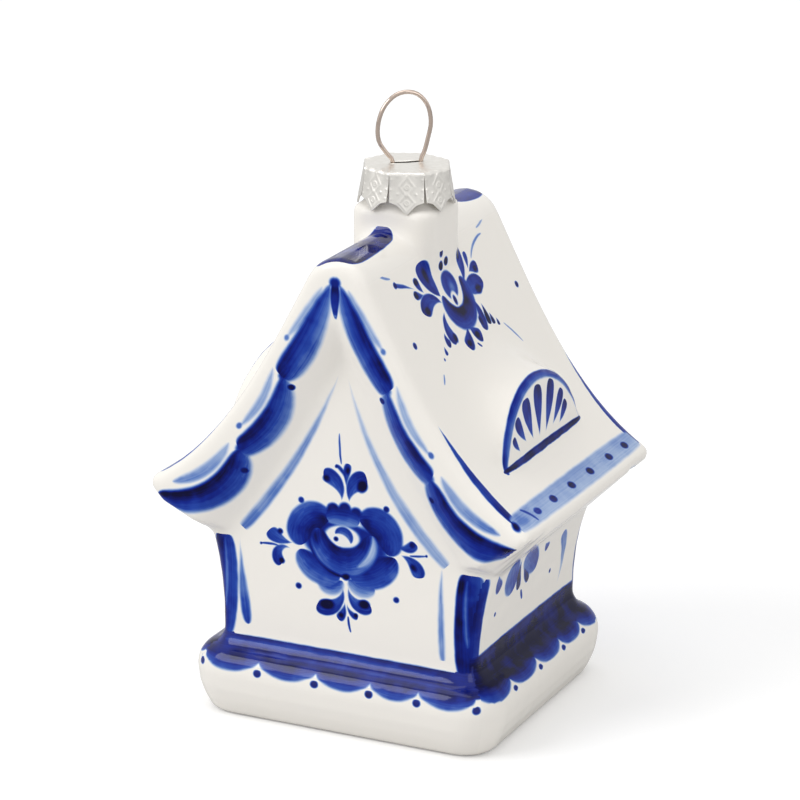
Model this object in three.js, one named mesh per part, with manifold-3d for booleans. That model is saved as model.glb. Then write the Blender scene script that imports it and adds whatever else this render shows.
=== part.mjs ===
// A hanging ornament in the shape of a cottage: a hollow slip-cast porcelain house with a bell-cast
// gable roof, closed at its neck by a pressed aluminium crown cap that carries a spring-wire loop.
// Millimetres, +Z up. The origin is the middle of the underside, the front gable faces -Y and the
// ridge runs along Y.

import * as THREE from 'three';
import { mergeVertices } from 'three/addons/utils/BufferGeometryUtils.js';
import Module from 'manifold-3d';

// Driving dimensions

// Porcelain
const wallThickness = 3.0;          // thickness of the cast wall
const clearance = 0.3;              // gap between pieces that touch or slide on each other

// Walls
const wallHalfX = 25.1;             // half width at the foot
const wallHalfY = 24.6;             // half depth, which is also the plane of the gable panels
const wallCorner = 3.0;             // corner radius in plan
const eavesCornerFront = 4.6;       // front corner radius under the eaves
const eavesCornerBack = 4.0;        // back corner radius under the eaves
const wallFlare = 2.9;              // how far the side walls lean out up to the soffit
const soffitZ = 33.2;               // level where the soffit leaves the side walls

// Plinth
const plinthReachX = 5.3;           // how far it stands out beyond the side walls
const plinthReachY = 4.0;           // how far it stands out beyond the gable walls
const plinthCorner = 7.5;           // corner radius in plan
const plinthWideZ = 8.6;            // level of the widest section
const plinthTopZ = 15.2;            // level where the walls start
const footInset = 2.2;              // how far the foot of the sides is drawn in
const footEdge = 0.7;               // rounding of the bottom edge
const footCorner = 5.8;             // corner radius of the underside in plan
const shoulderRadius = 4.4;         // rounding from the sides to the sloping top
const shoulderStep = 0.9;           // ledge left between that rounding and the walls

// Roof
const ridgeZ = 89.4;                // top of the ridge
const ridgeRadius = 6.6;            // rounding of the ridge
const ridgeSlope = 62.3;            // slope of the roof below the ridge, degrees
const eaveOverhang = 12.1;          // how far the eave tips stand out beyond the foot of the walls
const eaveZ = 43.1;                 // level of the eave tip
const eaveSlope = 31.0;             // slope of the roof at the eave, degrees
const eaveRadius = 1.6;             // rounding of the eave tip
const ridgePull = 17.6;             // how far the slope runs on straight below the ridge
const eavePull = 16.9;              // how far the slope runs on straight above the eave
const gableOverhang = 4.6;          // how far the barge bands stand out from the gable panels
const bargeEdge = 2.2;              // rounding of the roof's front and back edges
const bargeLift = 5.0;              // how much higher the underside is at the front and back edges
const bargeLiftRun = 5.0;           // length of the soffit over which that rise begins

// Gable panels, recessed between the barge bands
const panelPeakZ = 68.6;            // top of the panel
const panelFootX = 20.6;            // half width of the panel at the foot of its slopes
const panelFootZ = 35.8;            // level of the foot of its slopes
const panelSag = 1.8;               // how far the slopes sag below a straight line
const coveWidth = 8.6;              // width of the cove between the panel and the barge band

// Dormers, one half-round eyebrow window on each slope
const dormerHalfWidth = 17.6;       // half width of the window face
const dormerHeight = 14.0;          // height of the window face
const dormerSillX = 27.8;           // distance of the sill from the middle
const dormerSillZ = 50.8;           // level of the sill
const dormerLean = 2.0;             // how far the top of the face leans back
const dormerRun = 15.0;             // length of the bulge behind the face
const dormerRise = 8.0;             // rise of the bulge over that length
const dormerTaper = 0.78;           // width of the bulge at its inner end, against the face
const dormerEdge = 1.6;             // rounding round the face
const dormerOffsetY = 0.4;          // how far the windows sit behind the middle of the roof

// Chimney block and neck
const chimneyHalf = 7.9;            // half width of the block
const chimneyCorner = 3.4;          // corner radius of the block in plan
const chimneyRise = 4.3;            // height of the block above the ridge
const chimneyEdge = 1.5;            // rounding of its top edge
const neckRadius = 6.7;             // outer radius of the neck under the cap
const neckBore = 5.1;               // radius of the bore through which the slip was poured
const neckEdge = 0.5;               // rounding of the neck's rim

// Cap
const capSheet = 0.35;              // sheet thickness
const capRise = 6.8;                // top of the cap's flutes above the chimney block
const capRimRadius = 7.8;           // radius over the flutes at the rim
const capFluteDepth = 0.28;         // depth of the flutes
const capFlutes = 24;               // number of flutes round the rim
const capCollar = 1.6;              // height of the round collar below the rim
const capPetals = 8;                // number of petals in the skirt
const petalWidth = 6.3;             // width of a petal
const petalDrop = 0.75;             // how far below the cap's top the petals leave the rim
const petalSide = 4.6;              // height of a petal down to its side corners
const petalPoint = 2.2;             // how far its point hangs below them
const petalTilt = 10.0;             // outward lean of the petals, degrees
const petalTurn = -65.0;            // direction that the first petal faces, degrees from +X
const lipHeight = 0.4;              // height of the pressed lip round the slot
const lipWidth = 1.1;               // width of the lip beside the slot

// Wire loop
const wireDiameter = 0.8;
const loopTurn = 39.5;              // direction of the loop's plane, degrees from +X
const waistHalf = 2.55;             // half the distance between the two wires in the slot
const eyeHalfWidth = 4.85;          // half width of the eye, on the wire's centre
const eyeHeight = 12.8;             // top of the eye above the cap, on the wire's centre
const eyeLean = 3.5;                // lean of the eye to one side, degrees
const eyeShift = -0.9;              // how far the eye sits off the middle of the slot
const eyeShiftRise = 3.5;           // height over which the wires bend aside for that
const legSpread = 4.35;             // half the distance between the leg ends
const legLength = 24.0;             // length of the legs below the cap
const legSplay = 5.0;               // height over which the legs spread, below their straight part
const pullOut = 3.0;                // how far the wire can be drawn up through the slot

const plinthHalfX = wallHalfX + plinthReachX;
const plinthHalfY = wallHalfY + plinthReachY;
const eaveHalfX = wallHalfX + eaveOverhang;
const roofHalfY = wallHalfY + gableOverhang;
const chimneyTopZ = ridgeZ + chimneyRise;
const capTopZ = chimneyTopZ + capRise;
const neckTopZ = capTopZ - capFluteDepth / 2 - capSheet - clearance;
const petalTopZ = capTopZ - petalDrop;

const RAD = Math.PI / 180;
const wasm = await Module();
wasm.setup();

// Solids

function toSolid(geometry) {
  const bare = geometry.clone();
  bare.deleteAttribute('normal');
  bare.deleteAttribute('uv');
  const merged = mergeVertices(bare, 1e-4);
  const mesh = new wasm.Mesh({
    numProp: 3,
    vertProperties: new Float32Array(merged.attributes.position.array),
    triVerts: new Uint32Array(merged.index.array),
  });
  return new wasm.Manifold(mesh);
}

function toGeometry(solid) {
  const mesh = solid.getMesh();
  const geometry = new THREE.BufferGeometry();
  geometry.setAttribute('position', new THREE.BufferAttribute(new Float32Array(mesh.vertProperties), 3));
  geometry.setIndex(new THREE.BufferAttribute(new Uint32Array(mesh.triVerts), 1));
  geometry.computeVertexNormals();
  return geometry;
}

function union(solids) {
  return solids.reduce((whole, next) => whole.add(next));
}

function centroid(ring) {
  const middle = new THREE.Vector3();
  ring.forEach((point) => middle.add(point));
  return middle.divideScalar(ring.length);
}

// Closed body through rings with equal numbers of points, each ring anticlockwise as seen from the
// side that the loft runs towards
function loft(rings) {
  const count = rings[0].length;
  const points = rings.flat();
  const index = [];
  for (let level = 0; level + 1 < rings.length; level += 1) {
    for (let i = 0; i < count; i += 1) {
      const a = level * count + i;
      const b = level * count + ((i + 1) % count);
      index.push(a, b, b + count, a, b + count, a + count);
    }
  }
  const start = points.length;
  points.push(centroid(rings[0]), centroid(rings[rings.length - 1]));
  const last = (rings.length - 1) * count;
  for (let i = 0; i < count; i += 1) {
    const next = (i + 1) % count;
    index.push(start, next, i);
    index.push(start + 1, last + i, last + next);
  }
  const geometry = new THREE.BufferGeometry().setFromPoints(points);
  geometry.setIndex(index);
  return geometry;
}

// Rounded rectangle in plan, anticlockwise from above, from the back right corner
function rectangleRing(halfX, halfY, backRadius, z, frontRadius = backRadius, steps = 7) {
  const ring = [];
  for (let corner = 0; corner < 4; corner += 1) {
    const signX = corner === 0 || corner === 3 ? 1 : -1;
    const signY = corner < 2 ? 1 : -1;
    const radius = corner < 2 ? backRadius : frontRadius;
    for (let i = 0; i < steps; i += 1) {
      const angle = (corner + i / (steps - 1)) * 90 * RAD;
      const x = signX * (halfX - radius) + radius * Math.cos(angle);
      const y = signY * (halfY - radius) + radius * Math.sin(angle);
      ring.push(new THREE.Vector3(x, y, z));
    }
  }
  return ring;
}

// Circle in plan with an optional wave on its radius, anticlockwise from above
function circleRing(radius, z, waveDepth = 0, waves = capFlutes, steps = 4 * capFlutes) {
  const ring = [];
  for (let i = 0; i < steps; i += 1) {
    const angle = (i / steps) * 2 * Math.PI;
    const reach = radius - waveDepth * (0.5 - 0.5 * Math.cos(waves * angle));
    ring.push(new THREE.Vector3(reach * Math.cos(angle), reach * Math.sin(angle), z));
  }
  return ring;
}

// Outline in X and Z, extruded symmetrically along Y
function extrudeAlongY(outline, halfLength) {
  const geometry = new THREE.ExtrudeGeometry(new THREE.Shape(outline), {
    depth: 2 * halfLength,
    bevelEnabled: false,
  });
  geometry.rotateX(90 * RAD);
  geometry.translate(0, halfLength, 0);
  return toSolid(geometry);
}

// House

// Plinth and walls in one loft from the underside up into the roof
function wallBody(inset) {
  const tightCorner = 0.8;
  const rings = [];
  const level = (halfX, halfY, radius, z, frontRadius = radius) => {
    const back = Math.max(radius - inset, tightCorner);
    const front = Math.max(frontRadius - inset, tightCorner);
    rings.push(rectangleRing(halfX - inset, halfY - inset, back, z, front));
  };
  const footX = plinthHalfX - footInset;
  const footY = plinthHalfY - footInset;
  const footZ = inset + footEdge;
  level(footX - footEdge, footY - footEdge, footCorner, inset);
  for (const share of [0, 0.3, 0.6, 1]) {
    const swell = 1 - (1 - share) ** 2;
    const bulge = footInset * swell;
    const corner = footCorner + swell * (plinthCorner - footCorner);
    level(footX + bulge, footY + bulge, corner, footZ + share * (plinthWideZ - footZ));
  }
  const shoulderX = Math.min(shoulderRadius, plinthReachX - shoulderStep);
  const shoulderY = Math.min(shoulderRadius, plinthReachY - shoulderStep);
  for (const angle of [25, 50, 70, 85]) {
    const rise = shoulderRadius * Math.sin(angle * RAD);
    const pull = 1 - Math.cos(angle * RAD);
    const corner = plinthCorner - pull * (plinthCorner - wallCorner - 1);
    level(plinthHalfX - shoulderX * pull, plinthHalfY - shoulderY * pull, corner, plinthWideZ + rise);
  }
  level(wallHalfX + 0.5, wallHalfY + 0.4, wallCorner + 0.6, plinthTopZ - 0.8);
  for (const share of [0, 0.3, 0.55, 0.75, 0.9, 1]) {
    const ease = share ** 2.5;
    const back = wallCorner + ease * (eavesCornerBack - wallCorner);
    const front = wallCorner + ease * (eavesCornerFront - wallCorner);
    const z = plinthTopZ + share * (soffitZ - plinthTopZ);
    level(wallHalfX + ease * wallFlare, wallHalfY, back, z, front);
  }
  level(wallHalfX + wallFlare, wallHalfY, eavesCornerBack, panelFootZ + 2, eavesCornerFront);
  return toSolid(loft(rings));
}

// Points of the roof's right slope, from the top of the ridge down to the eave, moved inwards
function slopePoints(inset) {
  const slope = ridgeSlope * RAD;
  const eave = eaveSlope * RAD;
  const points = [];
  for (let i = 0; i <= 5; i += 1) {
    const angle = 90 * RAD - (i / 5) * slope;
    const x = ridgeRadius * Math.cos(angle);
    points.push(new THREE.Vector2(x, ridgeZ - ridgeRadius + ridgeRadius * Math.sin(angle)));
  }
  const start = points[points.length - 1];
  const end = new THREE.Vector2(
    eaveHalfX - eaveRadius + eaveRadius * Math.sin(eave),
    eaveZ + eaveRadius * Math.cos(eave),
  );
  const afterStart = new THREE.Vector2(
    start.x + ridgePull * Math.cos(slope),
    start.y - ridgePull * Math.sin(slope),
  );
  const beforeEnd = new THREE.Vector2(end.x - eavePull * Math.cos(eave), end.y + eavePull * Math.sin(eave));
  const curve = new THREE.CubicBezierCurve(start, afterStart, beforeEnd, end);
  points.push(...curve.getPoints(16).slice(1));
  return points.map((point, i) => {
    const before = points[Math.max(i - 1, 0)];
    const after = points[Math.min(i + 1, points.length - 1)];
    const along = after.clone().sub(before).normalize();
    const across = i === 0 ? new THREE.Vector2(0, -1) : new THREE.Vector2(along.y, -along.x);
    return point.clone().addScaledVector(across, inset);
  });
}

function mirrorOutline(rightHalf) {
  const left = rightHalf.filter((point) => point.x > 1e-6);
  const leftHalf = left.map((point) => new THREE.Vector2(-point.x, point.y));
  return [...rightHalf.slice().reverse(), ...leftHalf];
}

// Whole outline of the roof with its eaves and soffits, drawn in where its end edges are rounded
function roofOutline(shrink) {
  const half = slopePoints(shrink);
  const tipRadius = eaveRadius * (1 - (0.4 * shrink) / bargeEdge);
  const soffitX = wallHalfX + wallFlare;
  const soffitSlope = Math.atan2(eaveZ - eaveRadius - soffitZ, eaveHalfX - eaveRadius - soffitX);
  const tipTop = half.pop();
  const tipX = tipTop.x - tipRadius * Math.sin(eaveSlope * RAD) - 0.5 * shrink;
  const tipZ = tipTop.y - tipRadius * Math.cos(eaveSlope * RAD) + 0.36 * shrink;
  const first = (90 - eaveSlope) * RAD;
  const last = soffitSlope - 90 * RAD;
  for (let i = 0; i <= 6; i += 1) {
    const angle = first + (i / 6) * (last - first);
    half.push(new THREE.Vector2(tipX + tipRadius * Math.cos(angle), tipZ + tipRadius * Math.sin(angle)));
  }
  half.push(new THREE.Vector2(soffitX, soffitZ));
  return mirrorOutline(half);
}

// The roof with its eaves and the overhangs at the gables
function roofBlock() {
  const back = [];
  for (const angle of [90, 67, 45, 22, 0]) {
    const shrink = bargeEdge * (1 - Math.cos(angle * RAD));
    back.push({ shrink, y: roofHalfY - bargeEdge + bargeEdge * Math.sin(angle * RAD) });
  }
  const front = back.slice().reverse().map(({ shrink, y }) => ({ shrink, y: -y }));
  const rings = [...back, ...front].map(({ shrink, y }) => (
    roofOutline(shrink).map((point) => new THREE.Vector3(point.x, y, point.y))
  ));
  return toSolid(loft(rings)).subtract(soffitCutter(-1)).subtract(soffitCutter(1));
}

// Air under the gable overhang, which rises from the wall towards the front edge
function soffitCutter(side) {
  const soffitX = wallHalfX + wallFlare;
  const reach = eaveHalfX + 2;
  const slope = (eaveZ - eaveRadius - soffitZ) / (eaveHalfX - eaveRadius - soffitX);
  const outerZ = soffitZ + (reach - soffitX) * slope;
  const ring = (y, lift) => [
    new THREE.Vector3(-reach, side * y, soffitZ - 6),
    new THREE.Vector3(reach, side * y, soffitZ - 6),
    new THREE.Vector3(reach, side * y, outerZ - 0.4 * lift),
    new THREE.Vector3(soffitX, side * y, soffitZ + lift),
    new THREE.Vector3(-soffitX, side * y, soffitZ + lift),
    new THREE.Vector3(-reach, side * y, outerZ - 0.4 * lift),
  ];
  const wallLift = 0.35 * bargeLift;
  const rings = [
    ring(wallHalfY - bargeLiftRun, 0),
    ring(wallHalfY - 0.4 * bargeLiftRun, 0.3 * wallLift),
    ring(wallHalfY, wallLift),
    ring(roofHalfY + 1, bargeLift),
  ];
  return toSolid(loft(side < 0 ? rings : rings.map((points) => points.reverse())));
}

// Outline of the gable panel, widened by a margin: the left slope upwards, then the right one down
function panelOutline(margin) {
  const slopeSteps = 8;
  const half = [];
  for (let i = 0; i <= slopeSteps; i += 1) {
    const share = i / slopeSteps;
    const sag = panelSag * 4 * share * (1 - share);
    half.push(new THREE.Vector2(share * panelFootX, panelPeakZ - share * (panelPeakZ - panelFootZ) - sag));
  }
  const peakMitre = 1.5;
  const widened = half.map((point, i) => {
    if (i === 0) {
      return new THREE.Vector2(0, point.y + peakMitre * margin);
    }
    const along = half[Math.min(i + 1, slopeSteps)].clone().sub(half[i - 1]).normalize();
    return point.clone().addScaledVector(new THREE.Vector2(-along.y, along.x), margin);
  });
  const foot = widened[slopeSteps];
  const drop = foot.y - soffitZ + 8;
  const footSlope = (panelPeakZ - panelFootZ) / panelFootX;
  widened.push(new THREE.Vector2(foot.x + drop / footSlope, foot.y - drop));
  return mirrorOutline(widened);
}

// Air in front of a gable panel, with the cove that sweeps out to the barge band
function panelCutter(side) {
  const rings = [];
  for (const share of [0, 0.15, 0.3, 0.45, 0.6, 0.75, 0.9, 1]) {
    const sweep = share * share * (3 - 2 * share);
    const y = side * (wallHalfY + gableOverhang * sweep);
    rings.push(panelOutline(coveWidth * share).map((point) => new THREE.Vector3(point.x, y, point.y)));
  }
  const beyond = side * (roofHalfY + 1);
  rings.push(panelOutline(coveWidth).map((point) => new THREE.Vector3(point.x, beyond, point.y)));
  const facing = side < 0 ? rings : rings.map((ring) => ring.slice().reverse());
  return toSolid(loft(facing));
}

// Half-round window with the bulge that runs back from it into the roof
function dormer(side, inset) {
  const rings = [];
  const floorZ = dormerSillZ + (inset > 0 ? inset : -dormerEdge);
  const arch = (x, halfWidth, topZ) => {
    const ring = [];
    const place = (y, z) => {
      const lean = (dormerLean * (z - dormerSillZ)) / dormerHeight;
      ring.push(new THREE.Vector3(side * (x - lean), dormerOffsetY + y, z));
    };
    for (let i = 0; i <= 16; i += 1) {
      const angle = (i / 16) * Math.PI;
      const z = dormerSillZ + (topZ - dormerSillZ) * Math.sin(angle);
      place(halfWidth * Math.cos(angle), Math.max(z, floorZ));
    }
    place(-halfWidth, floorZ - 0.5);
    place(halfWidth, floorZ - 0.5);
    rings.push(side > 0 ? ring : ring.reverse());
  };
  const faceTop = dormerSillZ + dormerHeight;
  for (const share of [1, 0.8, 0.6, 0.4, 0.2]) {
    const width = dormerHalfWidth * (1 - (1 - dormerTaper) * share) - inset;
    arch(dormerSillX - dormerEdge - share * dormerRun, width, faceTop + dormerRise * share ** 1.2 - inset);
  }
  for (const angle of [0, 30, 60, 90]) {
    const shrink = dormerEdge * (1 - Math.cos(angle * RAD));
    const x = dormerSillX - dormerEdge + dormerEdge * Math.sin(angle * RAD) - inset;
    arch(x, dormerHalfWidth - inset - shrink, faceTop - inset - shrink);
  }
  return toSolid(loft(rings));
}

function chimney() {
  const rings = [rectangleRing(chimneyHalf, chimneyHalf, chimneyCorner, ridgeZ - 12)];
  for (const angle of [0, 30, 60, 90]) {
    const shrink = chimneyEdge * (1 - Math.cos(angle * RAD));
    const z = chimneyTopZ - chimneyEdge + chimneyEdge * Math.sin(angle * RAD);
    rings.push(rectangleRing(chimneyHalf - shrink, chimneyHalf - shrink, chimneyCorner - shrink / 2, z));
  }
  return toSolid(loft(rings));
}

// Round neck standing on the chimney, or its bore
function neckRod(radius, fromZ, toZ, edge) {
  const rings = [circleRing(radius, fromZ, 0, 0, 48)];
  for (const angle of [0, 45, 90]) {
    const z = toZ - edge + edge * Math.sin(angle * RAD);
    rings.push(circleRing(radius - edge * (1 - Math.cos(angle * RAD)), z, 0, 0, 48));
  }
  return toSolid(loft(rings));
}

function cavity() {
  const slope = slopePoints(wallThickness);
  const wallX = wallHalfX + wallFlare - wallThickness;
  const half = slope.filter((point) => point.x < wallX);
  half.push(new THREE.Vector2(wallX, half[half.length - 1].y - 2));
  half.push(new THREE.Vector2(wallX, soffitZ));
  const roofSpace = extrudeAlongY(mirrorOutline(half), wallHalfY - wallThickness);
  const dormerSpaces = [-1, 1].map((side) => dormer(side, wallThickness));
  const bore = neckRod(neckBore, ridgeZ - 16, neckTopZ + 1, 0.2);
  return union([wallBody(wallThickness), roofSpace, ...dormerSpaces, bore]);
}

function houseShell() {
  const gabled = roofBlock().subtract(panelCutter(-1)).subtract(panelCutter(1));
  const neck = neckRod(neckRadius, chimneyTopZ - 1, neckTopZ, neckEdge);
  const outside = union([wallBody(0), gabled, dormer(-1, 0), dormer(1, 0), chimney(), neck]);
  return toGeometry(outside.subtract(cavity()));
}

// Cap

// Fluted disc with a short round collar below its rim
function capCrown() {
  const inner = capRimRadius - capFluteDepth - capSheet;
  const under = capTopZ - capSheet;
  const rings = [
    circleRing(0.6, under - capFluteDepth / 2),
    circleRing(inner - 0.4, under - capFluteDepth / 2),
    circleRing(inner, under - 0.5),
    circleRing(inner, capTopZ - capCollar, 0),
    circleRing(inner + capSheet, capTopZ - capCollar, 0),
    circleRing(inner + capSheet, capTopZ - 0.9, 0),
    circleRing(capRimRadius, capTopZ - 0.5, capFluteDepth),
    circleRing(capRimRadius - 0.2, capTopZ - 0.15, capFluteDepth),
    circleRing(capRimRadius - 0.6, capTopZ, capFluteDepth),
    circleRing(capRimRadius - 2.4, capTopZ - capFluteDepth / 2),
    circleRing(0.6, capTopZ - capFluteDepth / 2),
  ];
  return toSolid(loft(rings));
}

// Flat petal, hanging from the rim and leaning outwards, with a pointed lower edge
function capPetal(turn) {
  const drop = petalSide / Math.cos(petalTilt * RAD);
  const half = petalWidth / 2;
  const shape = new THREE.Shape();
  shape.moveTo(-half * 0.94, 0);
  shape.lineTo(-half, -drop);
  shape.lineTo(-half * 0.82, -drop - petalPoint * 0.12);
  shape.quadraticCurveTo(-half * 0.6, -drop - petalPoint * 0.5, -half * 0.4, -drop - petalPoint * 0.55);
  shape.lineTo(0, -drop - petalPoint);
  shape.lineTo(half * 0.4, -drop - petalPoint * 0.55);
  shape.quadraticCurveTo(half * 0.6, -drop - petalPoint * 0.5, half * 0.82, -drop - petalPoint * 0.12);
  shape.lineTo(half, -drop);
  shape.lineTo(half * 0.94, 0);
  const geometry = new THREE.ExtrudeGeometry(shape, { depth: capSheet, bevelEnabled: false, curveSegments: 4 });
  geometry.translate(0, 0, -capSheet);
  geometry.rotateX((90 - petalTilt) * RAD);
  geometry.translate(0, -(capRimRadius - capFluteDepth / 2), petalTopZ);
  geometry.rotateZ((turn + 90) * RAD);
  return toSolid(geometry);
}

function slotBlock(halfLength, halfWidth, fromZ, toZ, taper = 0) {
  const corner = halfWidth - taper;
  const geometry = loft([
    rectangleRing(halfLength, halfWidth, halfWidth * 0.98, fromZ),
    rectangleRing(halfLength - taper, corner, corner * 0.98, toZ),
  ]);
  geometry.rotateZ(loopTurn * RAD);
  return toSolid(geometry);
}

function neckCap() {
  const slotHalfLength = waistHalf + wireDiameter / 2 + clearance;
  const slotHalfWidth = wireDiameter / 2 + clearance;
  const discZ = capTopZ - capFluteDepth / 2;
  const lip = slotBlock(slotHalfLength + lipWidth, slotHalfWidth + lipWidth, discZ - 0.1, discZ + lipHeight, 0.7);
  const slot = slotBlock(slotHalfLength, slotHalfWidth, discZ - 1, discZ + 1);
  const petals = [];
  for (let i = 0; i < capPetals; i += 1) {
    petals.push(capPetal(petalTurn + (i * 360) / capPetals));
  }
  return toGeometry(union([capCrown(), ...petals, lip]).subtract(slot));
}

// Wire loop

// Centre line of the wire, symmetrical about its own middle and then leaned to one side
function wirePath() {
  const slotZ = capTopZ;
  const legEndZ = slotZ - legLength;
  const straightZ = slotZ - capSheet - pullOut - 0.6;
  const right = [
    [legSpread, legEndZ],
    [legSpread - 0.1, straightZ - legSplay],
    [(waistHalf + legSpread) / 2, straightZ - 0.5 * legSplay],
    [waistHalf, straightZ],
    [waistHalf, slotZ - 0.6],
    [waistHalf + 0.1, slotZ + 0.5],
    [waistHalf + 0.4 * (eyeHalfWidth - waistHalf), slotZ + 0.14 * eyeHeight],
    [waistHalf + 0.85 * (eyeHalfWidth - waistHalf), slotZ + 0.32 * eyeHeight],
    [eyeHalfWidth, slotZ + 0.55 * eyeHeight],
    [0.82 * eyeHalfWidth, slotZ + 0.8 * eyeHeight],
    [0.42 * eyeHalfWidth, slotZ + 0.96 * eyeHeight],
  ];
  const left = right.map(([across, z]) => [-across, z]);
  const course = [...right, [0, slotZ + eyeHeight], ...left.reverse()];
  const lean = Math.tan(eyeLean * RAD);
  return course.map(([across, z]) => {
    const bend = Math.min(1, Math.max(0, z - slotZ - 0.5) / eyeShiftRise);
    const s = across + lean * Math.max(0, z - slotZ - 0.5) + eyeShift * bend;
    return new THREE.Vector3(s * Math.cos(loopTurn * RAD), s * Math.sin(loopTurn * RAD), z);
  });
}

function hangerLoop() {
  const section = new THREE.Shape();
  section.absarc(0, 0, wireDiameter / 2, 0, 2 * Math.PI);
  const path = new THREE.CatmullRomCurve3(wirePath(), false, 'centripetal');
  return new THREE.ExtrudeGeometry(section, { steps: 96, curveSegments: 5, extrudePath: path });
}

// Assembly

const porcelain = new THREE.MeshStandardMaterial({ color: 0xf0eee8, roughness: 0.08, metalness: 0 });
const aluminium = new THREE.MeshStandardMaterial({ color: 0xcfcfcd, roughness: 0.38, metalness: 1 });
const steelWire = new THREE.MeshStandardMaterial({ color: 0xb9a79c, roughness: 0.25, metalness: 1 });

function piece(name, geometry, material) {
  const mesh = new THREE.Mesh(geometry, material);
  mesh.name = name;
  return mesh;
}

const group = new THREE.Group();
group.add(piece('house_shell', houseShell(), porcelain));
group.add(piece('neck_cap', neckCap(), aluminium));
group.add(piece('hanger_loop', hangerLoop(), steelWire));

export default group;
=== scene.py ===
import math
import bmesh
import bpy
import numpy as np
from mathutils import Matrix, Vector


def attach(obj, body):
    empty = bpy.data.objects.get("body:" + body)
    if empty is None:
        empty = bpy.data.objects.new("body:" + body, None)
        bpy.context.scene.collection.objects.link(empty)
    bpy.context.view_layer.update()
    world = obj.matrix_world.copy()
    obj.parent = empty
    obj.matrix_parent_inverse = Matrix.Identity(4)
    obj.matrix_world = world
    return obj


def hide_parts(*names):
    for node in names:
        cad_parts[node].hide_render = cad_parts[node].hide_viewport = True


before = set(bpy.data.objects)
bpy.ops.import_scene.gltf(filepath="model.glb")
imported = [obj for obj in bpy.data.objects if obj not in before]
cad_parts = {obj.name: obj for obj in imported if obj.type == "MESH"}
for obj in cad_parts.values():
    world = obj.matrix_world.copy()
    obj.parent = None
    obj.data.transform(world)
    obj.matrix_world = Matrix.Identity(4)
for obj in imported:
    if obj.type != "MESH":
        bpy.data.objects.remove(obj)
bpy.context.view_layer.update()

# Sizes in millimetres, in the frame's own axes
MM = 0.001
MERGE = 0.01
WALL_X = 25.1
WALL_Y = 24.6
WALL_FLARE = 2.9
SOFFIT_Z = 33.2
PLINTH_X = 30.4
PLINTH_Y = 28.6
PLINTH_CORNER = 7.5
PLINTH_BEND_X = PLINTH_X - PLINTH_CORNER
PLINTH_BEND_Y = PLINTH_Y - PLINTH_CORNER
RIDGE_Z = 89.4
RIDGE_RADIUS = 6.6
RIDGE_SLOPE = math.radians(62.3)
RIDGE_PULL = 17.6
EAVE_X = 37.2
EAVE_Z = 43.1
EAVE_SLOPE = math.radians(31)
EAVE_RADIUS = 1.6
EAVE_PULL = 16.9
PANEL_PEAK_Z = 68.6
PANEL_FOOT_X = 20.6
PANEL_FOOT_Z = 35.8
WINDOW_X = 27.8
WINDOW_SILL_Z = 50.8
WINDOW_HEIGHT = 14.0
WINDOW_LEAN = 2.0
WINDOW_Y = 0.4
CHIMNEY_HALF = 7.9


def shade(red, green, blue):
    """Linear colour from the 0 to 255 values of a display."""
    linear = []
    for value in (red, green, blue):
        share = value / 255
        linear.append(share / 12.92 if share <= 0.04045 else ((share + 0.055) / 1.055) ** 2.4)
    return (*linear, 1.0)


# Node helpers

def put(tree, kind, **settings):
    node = tree.nodes.new(kind)
    for name, value in settings.items():
        setattr(node, name, value)
    return node


def feed(tree, socket, value):
    """Links an output to the socket, or sets the socket to a plain value."""
    if isinstance(value, bpy.types.NodeSocket):
        tree.links.new(value, socket)
    elif value is not None:
        socket.default_value = value


def calc(tree, operation, *values, clamp=False):
    node = put(tree, "ShaderNodeMath", operation=operation, use_clamp=clamp)
    for socket, value in zip(node.inputs, values):
        feed(tree, socket, value)
    return node.outputs[0]


def vector_calc(tree, operation, *values):
    node = put(tree, "ShaderNodeVectorMath", operation=operation)
    for socket, value in zip(node.inputs, values):
        feed(tree, socket, value)
    return node.outputs["Value" if operation in ("DOT_PRODUCT", "LENGTH") else "Vector"]


def smooth_range(tree, value, low, high, first=0.0, last=1.0):
    node = put(tree, "ShaderNodeMapRange", interpolation_type="SMOOTHSTEP")
    for socket, item in zip(node.inputs, (value, low, high, first, last)):
        feed(tree, socket, item)
    return node.outputs[0]


# Inputs and output of a Mix node for each kind of value
MIX_SOCKETS = {"FLOAT": (2, 3, 0), "VECTOR": (4, 5, 1), "RGBA": (6, 7, 2)}


def blend(tree, kind, share, first, second):
    low, high, out = MIX_SOCKETS[kind]
    node = put(tree, "ShaderNodeMix", data_type=kind)
    feed(tree, node.inputs[0], share)
    feed(tree, node.inputs[low], first)
    feed(tree, node.inputs[high], second)
    return node.outputs[out]


def noise(tree, place, scale, detail):
    node = put(tree, "ShaderNodeTexNoise")
    feed(tree, node.inputs["Vector"], place)
    node.inputs["Scale"].default_value = scale
    node.inputs["Detail"].default_value = detail
    return node.outputs


def joined(tree, x, y, z):
    node = put(tree, "ShaderNodeCombineXYZ")
    for socket, value in zip(node.inputs, (x, y, z)):
        feed(tree, socket, value)
    return node.outputs[0]


def new_group(name, inputs, outputs):
    tree = bpy.data.node_groups.new(name, "ShaderNodeTree")
    for label, kind in inputs:
        tree.interface.new_socket(label, in_out="INPUT", socket_type="NodeSocket" + kind)
    for label, kind in outputs:
        tree.interface.new_socket(label, in_out="OUTPUT", socket_type="NodeSocket" + kind)
    return tree, put(tree, "NodeGroupInput").outputs, put(tree, "NodeGroupOutput").inputs


def new_material(name):
    """A material, its tree and the inputs of its shader."""
    material = bpy.data.materials.new(name)
    material.use_nodes = True
    tree = material.node_tree
    return material, tree, tree.nodes["Principled BSDF"].inputs


# Object helpers

def add_object(name, data):
    thing = bpy.data.objects.new(name, data)
    bpy.context.scene.collection.objects.link(thing)
    return thing


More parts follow.
